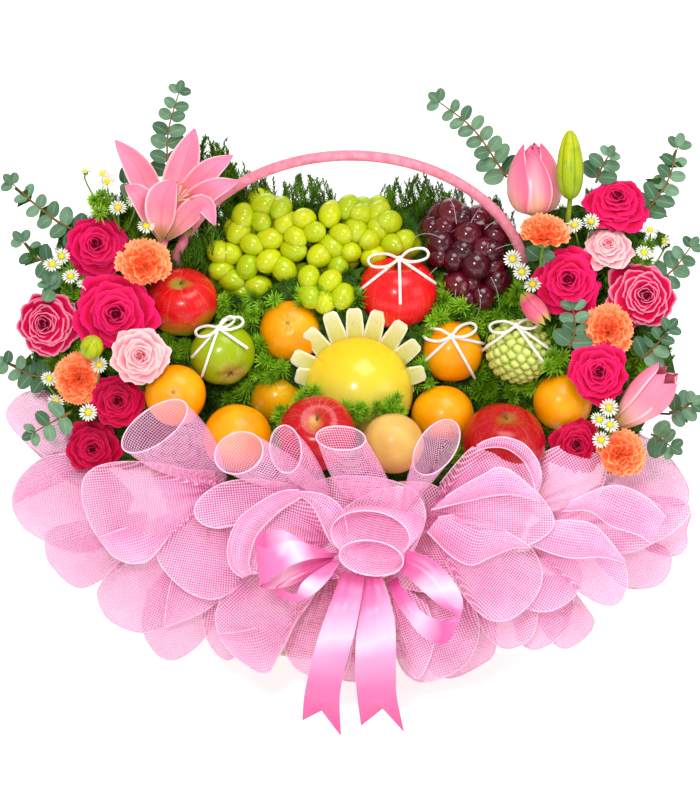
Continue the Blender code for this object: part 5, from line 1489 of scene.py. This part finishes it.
def build_sprigs():
    leaves = Heap()
    stalks = Heap()
    draw = random.Random(4)
    for start, bend, end, pairs in SPRIGS:
        line = to_room(smooth_line((start, bend, end), 24))
        if pairs > 1:
            stalks.tube(line, np.linspace(0.0015, 0.0008, 24), 6)
        for pair in range(pairs + 1):
            share = (pair + 0.6) / (pairs + 0.6)
            step = min(23, int(share * 23))
            place = line[step]
            along = unit(place - line[max(0, step - 2)])
            facing = unit(OUTWARD + UPWARD * draw.uniform(-0.3, 0.5) + RIGHT * draw.uniform(-0.4, 0.4))
            side = unit(np.cross(along, facing))
            size = LEAF_SIZE * (1.1 - 0.45 * share) * draw.uniform(0.9, 1.1)
            for hand in (-1, 1) if share < 0.97 else (-1, 1, 0):
                away = unit(side * hand + along * (0.35 if hand else 1.0) + facing * draw.uniform(-0.2, 0.3))
                tip = place + away * size * 2.15
                points = np.array((place, place + away * size * 0.35, (place + tip) / 2 + facing * size * 0.1, tip))
                leaf_blade(leaves, points, size * 0.82, facing, 0.2, draw.random(), 14, 8, 0.0, OVAL_LEAF)
    made = Finish("eucalyptus", roughness=0.55)
    tone = made.mix(made.grain(2), (54, 92, 62), (112, 148, 116))
    tone = made.over(tone, (146, 176, 140), made.grain(1), 0.0, 0.12, 0.5, 0.0)
    made.set("Base Color", made.over(tone, (62, 98, 62), made.noise(90, 2), 0.45, 0.7, 0, 0.4))
    leaves.make("eucalyptus_leaves", made, "moss_green")
    stalks.make("eucalyptus_stalks", STEM_BROWN, "moss_green")


def build_daisies():
    petals = Heap()
    hearts = Heap()
    stalks = Heap()
    draw = random.Random(9)
    for right, up, out, look in DAISIES:
        centre = on_face(right, up, out)
        tilt = math.sqrt(max(0.0, 1 - look * look))
        axes = axes_to(face_direction(draw.uniform(-0.4, 0.4) * tilt * 2, 0.2 + tilt, look), draw.random() * 6)
        size = DAISY_RADIUS * draw.uniform(0.92, 1.05)
        for index in range(DAISY_PETALS):
            away = spoke(axes, index * 2 * math.pi / DAISY_PETALS + draw.uniform(-0.06, 0.06))
            droop = axes[2] * size * draw.uniform(-0.12, 0.10)
            line = np.array((centre + away * size * 0.3, centre + away * size * 0.7 + droop * 0.3,
                             centre + away * size * 1.08 + droop))
            leaf_blade(petals, line, size * 0.115, axes[2], 0.3, draw.random(), 4, 3, 0.0, 0.6)
        dome = oval_profile(size * 0.36, size * 0.24)
        hearts.ball(centre + axes[2] * size * 0.05, dome, 14, axes)
        back = centre - axes[2] * size * 0.5 - UPWARD * 0.006
        hub = min(DAISY_HUBS, key=lambda place: math.dist(place[:2], (right, up)))
        root = on_face(right * 0.2 + hub[0] * 0.8, up * 0.2 + hub[1] * 0.8, hub[2])
        bent = back * 0.45 + root * 0.55 - UPWARD * 0.004
        stalks.tube(smooth_line([centre - axes[2] * size * 0.1, back, bent, root], 12), 0.0011, 5)
        stalks.ball(centre - axes[2] * size * 0.22, dome * 0.95, 10, axes)
    white = Finish("daisy_white", roughness=0.6)
    # Painted shade: the petals greyer toward their root by the heart.
    white.set("Base Color", white.mix(white.grain(0), (190, 196, 160), (230, 232, 224)))
    petals.make("daisy_petals", white, "moss_green")
    yellow = Finish("daisy_yellow", roughness=0.8)
    yellow.set("Base Color", yellow.over((214, 160, 8), (252, 214, 30), yellow.voronoi(2600), 0.1, 0.5))
    hearts.make("daisy_hearts", yellow, "moss_green")
    stalks.make("daisy_stalks", LEAF_GREEN, "moss_green")


def needled(form, needles, half, widest=0.0):
    """The form with flat needles, each (root, way, length), widest at a share of their length."""
    points = []
    for root, way, length in needles:
        side = unit(np.cross(way, (0.1, 0.2, 1.0))) * half
        middle, tip = root + way * length * widest, root + way * length
        points += [root, middle - side, tip, middle + side] if widest else [root - side, root + side, tip]
    shares = (0, widest, 1, widest) if widest else (0, 0, 1)
    start = form.add(points, [(0, share, 0) for share in shares] * len(needles))
    faces = start + np.arange(len(points)).reshape(-1, len(shares))
    (form.quads if widest else form.triangles).append(faces)
    return form


def frond_form(seed, count=46):
    """A foxtail of short needles round a stem, one unit long, rising along its own third axis."""
    draw = random.Random(seed)
    form = Heap()
    form.tube([(0, 0, 0), (0.02, 0, 0.5), (0, 0.03, 1.0)], (0.012, 0.01, 0.004), 4)
    needles = []
    for index in range(count):
        share = (index + 0.5) / count
        turn = index * GOLDEN_TURN
        way = np.array((math.cos(turn), math.sin(turn), 0.55 + 0.6 * share))
        way = unit(way + np.array([draw.uniform(-0.25, 0.25) for _ in range(3)]))
        length = 0.30 * (1.08 - 0.72 * share ** 2) * draw.uniform(0.8, 1.15)
        needles.append((np.array((0, 0, share * 0.98)), way, length))
    return needled(form, needles, 0.024)


def spray_form(seed, count=42):
    """A star of needles round a short stem, seen end on as a bright pompom, one unit long."""
    draw = random.Random(seed)
    needles = []
    for index in range(count):
        share = (index + 0.5) / count
        turn = index * GOLDEN_TURN + draw.uniform(-0.2, 0.2)
        way = np.array((math.cos(turn), math.sin(turn), 0.05 + 1.4 * share))
        way = unit(way + np.array([draw.uniform(-0.2, 0.2) for _ in range(3)]))
        needles.append((np.array((0, 0, share * 0.55)), way, 0.62 * draw.uniform(0.8, 1.15)))
    return needled(Heap(), needles, 0.042, 0.45)


def tuft_form(seed, count=24):
    """Needles that spread from one point, one unit long."""
    draw = random.Random(seed)
    needles = []
    for index in range(count):
        polar = 0.15 + 1.25 * (index + 0.5) / count
        turn = index * GOLDEN_TURN + draw.uniform(-0.4, 0.4)
        way = np.array((math.sin(polar) * math.cos(turn), math.sin(polar) * math.sin(turn), math.cos(polar)))
        needles.append((np.zeros(3), way, draw.uniform(0.75, 1.15)))
    return needled(Heap(), needles, 0.05)


# Fern plumes that stand up behind the fruit: tip (right, up, out) and length (mm).
PLUMES = (
    (-158, 282, 4, 70), (-150, 262, 10, 60), (-140, 268, 0, 56), (-131, 252, 10, 60), (-122, 246, 20, 50),
    (-92, 236, 6, 50), (-70, 232, 0, 46), (-52, 240, 2, 50), (-36, 236, 4, 46), (-24, 222, 6, 40),
    (44, 228, 2, 44), (60, 236, 4, 46), (76, 240, 2, 50), (92, 232, 6, 46),
    (104, 222, 10, 44), (-176, 250, 0, 44), (-170, 160, 40, 44), (-186, 150, 30, 40), (160, 216, 4, 44),
    (168, 200, 20, 40), (-108, 236, 4, 46), (120, 228, 2, 40),
    (-146, 216, 16, 60), (-152, 206, 22, 56), (-158, 190, 26, 50), (-140, 222, 10, 56), (-166, 178, 30, 44),
    (-262, 222, 20, 44), (-246, 226, 24, 50), (-232, 212, 30, 44), (-222, 196, 40, 44), (-176, 214, 24, 44),
    (-168, 232, 20, 44), (-160, 200, 30, 44), (-300, 196, 20, 36), (262, 226, 30, 36), (306, 176, 30, 36),
    (224, 160, 50, 36), (240, 150, 50, 34), (330, 60, 30, 36), (176, 176, 30, 40), (-330, 40, 30, 30),
)
# A tuft further out than this stands in front of the melon, off the bed.
FRONT_TUFT = 90
# Tufts between the fruit: middle (right, up, out), reach across and reach up.
TUFTS = (
    (-128, 96, 50, 26, 20), (-190, 52, 62, 18, 14), (-116, 8, 64, 22, 14), (-94, 38, 48, 26, 22),
    (-66, -26, 94, 18, 12), (-46, -4, 92, 12, 7), (84, 20, 56, 18, 24), (140, 10, 60, 40, 20),
    (178, 2, 62, 30, 16), (118, 90, 46, 28, 14), (150, 84, 52, 26, 18), (220, 34, 56, 22, 24),
    (208, -42, 74, 14, 22), (2, -24, 106, 14, 8), (43, -16, 98, 16, 7), (-156, 100, 50, 20, 30),
    (165, 104, 48, 30, 16), (200, 70, 56, 20, 20), (-20, 106, 30, 44, 8), (96, 68, 46, 12, 16),
    (-170, -40, 76, 20, 16), (-152, 84, 44, 16, 20), (240, -40, 66, 16, 18), (128, -70, 80, 20, 14),
    (-80, -60, 90, 20, 14), (8, -70, 100, 30, 14),
    (-250, 190, 44, 40, 24), (-200, 170, 44, 24, 30), (-290, 120, 40, 30, 20), (-310, 50, 40, 20, 20),
    (-260, 40, 70, 30, 14), (-236, 10, 80, 16, 30), (-160, 60, 50, 14, 40), (232, 90, 50, 30, 24),
    (250, 40, 60, 30, 24), (300, 140, 40, 30, 24), (310, 40, 44, 24, 24), (240, 0, 60, 20, 30),
    (-70, 92, 30, 24, 12), (100, 110, 30, 20, 16),
)
# How high the moss stands behind the grapes, how much lower it is in its middle, where that is and
# how wide (mm).
RIDGE, RIDGE_DIP, DIP_MIDDLE, DIP_WIDTH = 204, 18, 14, 28
# The least area of the moss bed's faces that are kept, and of those that carry fern (square metres).
KEPT_FACE, FERN_FACE = 0.4e-5, 0.4e-4
# How many tufts cover the bed, and how many fronds make a plume.
BED_TUFTS, PLUME_FRONDS = 4600, 9
# Each kind of fern: its two tones and the tone at a needle's root, a painted shade. The fronds
# are painted darker as shaded fern and the sprays lighter as lit fern.
FERN_COLOURS = {
    "shaded_fern_fronds": ((62, 112, 6), (108, 160, 18), (18, 46, 2)),
    "lit_fern_sprays": ((104, 166, 8), (160, 216, 40), (20, 52, 2)),
}


def build_fern():
    """Moss painted dark as the shade deep in the fern, under a dense coat of foxtail fern over the whole bed."""
    corners = BED_CORNERS.copy()
    rights = corners @ RIGHT / MM
    ridge = RIDGE - RIDGE_DIP * np.exp(-((rights - DIP_MIDDLE) / DIP_WIDTH) ** 2)
    above = np.maximum(0, corners @ UPWARD - on_face(0, 0, 0) @ UPWARD - ridge * MM)
    window = np.clip((150 - np.abs(rights)) / 50, 0, 1)
    corners -= UPWARD * (0.75 * above * window)[:, None]
    edges = corners[BED_FACES]
    normals = np.cross(edges[:, 1] - edges[:, 0], edges[:, 2] - edges[:, 0])
    area = np.linalg.norm(normals, axis=1) / 2
    core = Heap()
    start = core.add(corners, (0, 0, 0))
    core.triangles.append(BED_FACES[area > KEPT_FACE] + start)
    # The moss is painted very dark green to stand for the shade beneath the fern.
    dark = Finish("shaded_moss_core", roughness=0.9)
    dark.set("Base Color", dark.over((26, 54, 6), (58, 100, 14), dark.noise(160, 4), 0.35, 0.7))
    dark.bump(dark.noise(300, 4), 0.9, 0.004)
    core.make("shaded_moss_core", dark, "moss_green", ("moss_bed",))
    frond = frond_form(1)
    tufts = [tuft_form(seed) for seed in (4, 5, 6)]
    stars = [spray_form(seed) for seed in (7, 8, 9)]
    rng = np.random.default_rng(5)
    fronds, sprays = Heap(), Heap()

    def stand(heap, form, place, way, size):
        heap.stamp(form, place, axes_to(way, rng.random() * 6), size, rng.random())

    middles = edges.mean(axis=1)
    directions = unit_rows(normals)
    seen = (directions @ OUTWARD > 0.1) | (directions[:, 2] > 0.6)
    weight = np.where((area > FERN_FACE) & (middles[:, 2] > 0.14), area, 0.0) * np.where(seen, 3.2, 1.0)
    picks = rng.choice(len(BED_FACES), BED_TUFTS, p=weight / weight.sum())
    for number, pick in enumerate(picks):
        a, b = sorted(rng.random(2))
        place = edges[pick][0] * a + edges[pick][1] * (b - a) + edges[pick][2] * (1 - b)
        lean = unit(directions[pick] + rng.normal(size=3) * 0.35 + np.array((0, 0, 0.3)))
        size = rng.uniform(0.0085, 0.0125)
        stand(fronds, tufts[number % 3], place - lean * size * 0.1, lean, size)
    for right, up, out, long in PLUMES:
        tip = on_face(right, up, out)
        for _ in range(PLUME_FRONDS):
            way = unit(UPWARD * 1.0 + RIGHT * rng.normal() * 0.34 + OUTWARD * rng.normal() * 0.3)
            size = long * MM * rng.uniform(0.55, 0.95)
            root = tip + RIGHT * rng.normal() * 0.006 - way * size * rng.uniform(0.9, 1.15)
            stand(fronds, frond, root, way, size)
    for right, up, out, wide_reach, high_reach in TUFTS:
        for number in range(6 + int(wide_reach * high_reach / 36)):
            shift = rng.uniform(-1, 1, 2)
            place = (right + shift[0] * wide_reach, up + shift[1] * high_reach)
            depth = bed_depth(*place)
            stands_out = depth is None or (out > FRONT_TUFT and up > -40)
            place = on_face(*place, out if stands_out else depth)
            way = unit(OUTWARD + UPWARD * (0.35 + rng.normal() * 0.35) + RIGHT * rng.normal() * 0.45)
            size = rng.uniform(0.015, 0.023)
            stand(sprays, stars[number % 3], place - way * size * 0.1, way, size)
    for piece, (name, (first, second, root)) in zip((fronds, sprays), FERN_COLOURS.items()):
        made = Finish(name + "_green", roughness=0.5)
        # Painted shade toward each needle's root.
        tone = made.over(made.mix(made.grain(2), first, second), root, made.grain(1), 0.05, 0.85, 0.96, 0.0)
        made.set("Base Color", made.over(tone, second, made.noise(18, 2), 0.42, 0.66, 0, 0.4))
        piece.make(name, made, "moss_green")


# The wicker wall's foot and height (m), and how many stakes and rows of strands it has.
FOOT, WALL = 0.004, 0.182
STAKES, ROWS = 44, 26
# Half the thickness of its strands, and how far they swing in and out of the stakes (m).
STRAND, SWING = 0.0033, 0.0026
# The rim's plait: its height, how far its strands lie from its middle, and half their thickness (m).
RIM, PLAIT, PLAIT_STRAND = 0.1855, 0.0035, 0.0036


def oval_point(angle, depth, height):
    return np.array((OVAL * depth * math.sin(angle), -depth * math.cos(angle), height))


def wall_point(angle, share, inward=0.0, foot=FOOT, wall=WALL):
    """A point of the tapered wall, that share of the way up it."""
    depth = BASE_HALF_DEPTH - inward + (RIM_HALF_DEPTH - BASE_HALF_DEPTH) * share
    return oval_point(angle, depth, foot + wall * share)


def build_basket():
    """Woven tub: stakes, rows of strands in and out of them, a braided rim and a base hoop."""
    heap = Heap()
    for stake in range(STAKES):
        angle = 2 * math.pi * stake / STAKES
        heap.tube([wall_point(angle, t) for t in np.linspace(0, 1, 8)], 0.0022, 6, stake / STAKES)
    for row in range(ROWS):
        share = (row + 0.5) / ROWS
        depth = BASE_HALF_DEPTH + (RIM_HALF_DEPTH - BASE_HALF_DEPTH) * share
        path = []
        for step in range(STAKES * 4 + 1):
            angle = 2 * math.pi * step / (STAKES * 4)
            wave = math.cos(STAKES / 2 * angle + row * math.pi)
            path.append(oval_point(angle, depth + wave * SWING - 0.001, FOOT + WALL * share))
        heap.tube(path, STRAND, 6, row * 0.37 % 1, closed=False)
    for strand in range(3):
        path = []
        for step in range(241):
            angle = 2 * math.pi * step / 240
            twist = 30 * angle + strand * 2 * math.pi / 3
            path.append(oval_point(angle, RIM_HALF_DEPTH + PLAIT * math.cos(twist), RIM + PLAIT * math.sin(twist)))
        heap.tube(path, PLAIT_STRAND, 6, strand / 3, closed=False)
    hoop = [oval_point(2 * math.pi * step / 120, BASE_HALF_DEPTH, FOOT) for step in range(121)]
    heap.tube(hoop, 0.004, 8, closed=False)
    for share in np.linspace(-0.95, 0.95, 24):
        half = OVAL * BASE_HALF_DEPTH * math.sqrt(1 - share ** 2)
        heap.tube([(-half, BASE_HALF_DEPTH * share, 0.005), (half, BASE_HALF_DEPTH * share, 0.005)], 0.0042, 6)
    made = Finish("washed_wicker", roughness=0.65)
    tone = made.mix(made.grain(2), (226, 212, 186), (244, 236, 218))
    grainy = made.noise(1.0, 3, 0.6, made.new("VectorMath", made.place(), (40, 40, 260), operation="MULTIPLY"))
    made.set("Base Color", made.over(tone, (196, 168, 126), grainy, 0.45, 0.75, 0, 0.5))
    made.bump(grainy, 0.35, 0.0008)
    heap.make("wicker_tub", made, "white_wicker", ("basket",))
    liner = Heap()
    around = np.linspace(0, 2 * np.pi, 72, endpoint=False)
    ring = [[wall_point(a, t, 0.007, 0.010, 0.172) for a in around] for t in np.linspace(0, 1, 6)]
    liner.grid(np.array(ring), wrap=True)
    lined = plain_finish("liner", 0.8, (238, 232, 222), (248, 244, 238), 60)
    liner.make("basket_liner", lined, "white_wicker")


# The handle's arch: half its width, how far back it stands, where its shoulders are and how far it
# rises over them (m).
ARCH_HALF, ARCH_BACK, SHOULDER, ARCH_RISE = 0.195, 0.045, 0.386, 0.163
# Half the thickness of the handle's rod (m).
ROD = 0.0059
# The tape's turns: how far apart they are, how far from the rod's middle, and their half thickness.
TAPE_STEP, TAPE_OUT, TAPE_THICK = 0.0042, 0.0044, 0.0018


def handle_line():
    """The handle's middle line from its left foot to its right foot."""
    half = []
    for step in range(25):
        angle = math.pi / 2 * step / 24
        half.append((ARCH_HALF * math.sin(angle), ARCH_BACK, SHOULDER + ARCH_RISE * math.cos(angle)))
    for share in (0.25, 0.6, 1.0):
        half.append((ARCH_HALF - 0.017 * share ** 1.5, ARCH_BACK, SHOULDER - 0.186 * share))
    half.append((0.136, ARCH_BACK, 0.06))
    return smooth_line([(-x, y, z) for x, y, z in reversed(half)] + half[1:], 900)


def build_handle():
    """A rod bound edge to edge with a narrow pink tape."""
    line = handle_line()
    heap = Heap()
    heap.tube(line[::6], ROD, 14)
    side = np.array((0.0, 1.0, 0.0))
    reach = reach_along(line)
    wanted = np.arange(0, reach[-1], 0.0005)
    ways = sampled(unit_rows(np.gradient(line, axis=0)), reach, wanted)
    spiral = []
    for distance, place, way in zip(wanted, sampled(line, reach, wanted), ways):
        turn = distance / TAPE_STEP * 2 * math.pi
        spiral.append(place + spoke((unit(np.cross(way, side)), side), turn) * TAPE_OUT)
    heap.tube(spiral, TAPE_THICK, 8)
    made = Finish("wrap_tape", roughness=0.42)
    made.set("Base Color", made.over((214, 116, 136), (226, 140, 158), made.noise(140, 2), 0.35, 0.65))
    made.bump(made.noise(800, 2), 0.1, 0.0003)
    heap.make("wrapped_handle", made, "pink_wrap", ("handle",))


# Each string bow: its fruit, then its knot, its loops and its ends (right, up of the fruit, in mm).
TIES = {
    "tie_green_apple": (APPLES["green_apple"], (-5, 29), ((-30, 24), (22, 37), (12, 40)),
                        ((-34, -3), (-23, -24), (27, 7))),
    "tie_red_apple": (APPLES["red_apple"], (2, 38), ((-32, 36), (34, 44)), ((-46, 0), (42, 11), (3, -12))),
    "tie_orange": (ORANGES["orange_tied"], (0, 16), ((-31, 20), (27, 27)), ((-30, -12), (26, -30), (36, 8))),
    "tie_sugar_apple": (SUGAR_APPLE, (-3, 29), ((-32, 27), (20, 31)), ((-45, -2), (34, -21), (38, 0))),
}
# Half the thickness of the string (m).
STRING = 0.00165


def build_ties():
    """White cord tied round four fruit in bows."""
    heap = Heap()
    for (right, up, out, size, _), knot, loops, ends in TIES.values():
        radius = size / 2 + 1.6
        knot = np.array(knot, float)

        def over_fruit(place, lift=0.0):
            far = np.linalg.norm(place)
            inside = place if far < radius * 0.985 else place / far * radius * 0.985
            depth = math.sqrt(radius ** 2 - inside @ inside)
            if far > radius:
                depth = min(depth, 4.0) - 4
            return on_face(right + place[0], up + place[1], out + depth + lift)

        for number, loop in enumerate(loops):
            way = np.array(loop, float) - knot
            side = np.array((-way[1], way[0])) * 0.20
            path = [
                over_fruit(knot, 1.5), over_fruit(knot + way * 0.4 + side * 1.1, 8),
                over_fruit(knot + way * 0.85 + side, 11), over_fruit(np.array(loop, float), 11),
                over_fruit(knot + way * 0.85 - side * 0.8, 9), over_fruit(knot + way * 0.4 - side * 0.9, 6),
                over_fruit(knot, 1.5),
            ]
            heap.tube(smooth_line(path, 40), STRING, 8, number)
        for end in ends:
            path = [over_fruit(knot + (np.array(end, float) - knot) * t) for t in np.linspace(0, 1, 9)]
            heap.tube(smooth_line(path, 30), STRING, 8)
        heap.ball(over_fruit(knot, 1.8), ball_profile(0.0036, 10, squash=0.8), 12, TO_FACE)
    made = Finish("white_cord", roughness=0.7)
    strands = made.noise(900)
    made.set("Base Color", made.mix(strands, (226, 222, 214), (252, 250, 244)))
    made.bump(strands, 0.4, 0.0006)
    heap.make("fruit_ties", made, "white_string", tuple(TIES))


build_stage()
build_apples()
build_oranges()
build_sugar_apple()
build_melon()
build_all_grapes()
build_film()
build_skirt()
build_bow()
build_roses()
build_carnations()
build_lilies()
build_tulip()
build_green_buds()
build_rose_bud()
build_sprigs()
build_daisies()
build_fern()
build_basket()
build_handle()
build_ties()
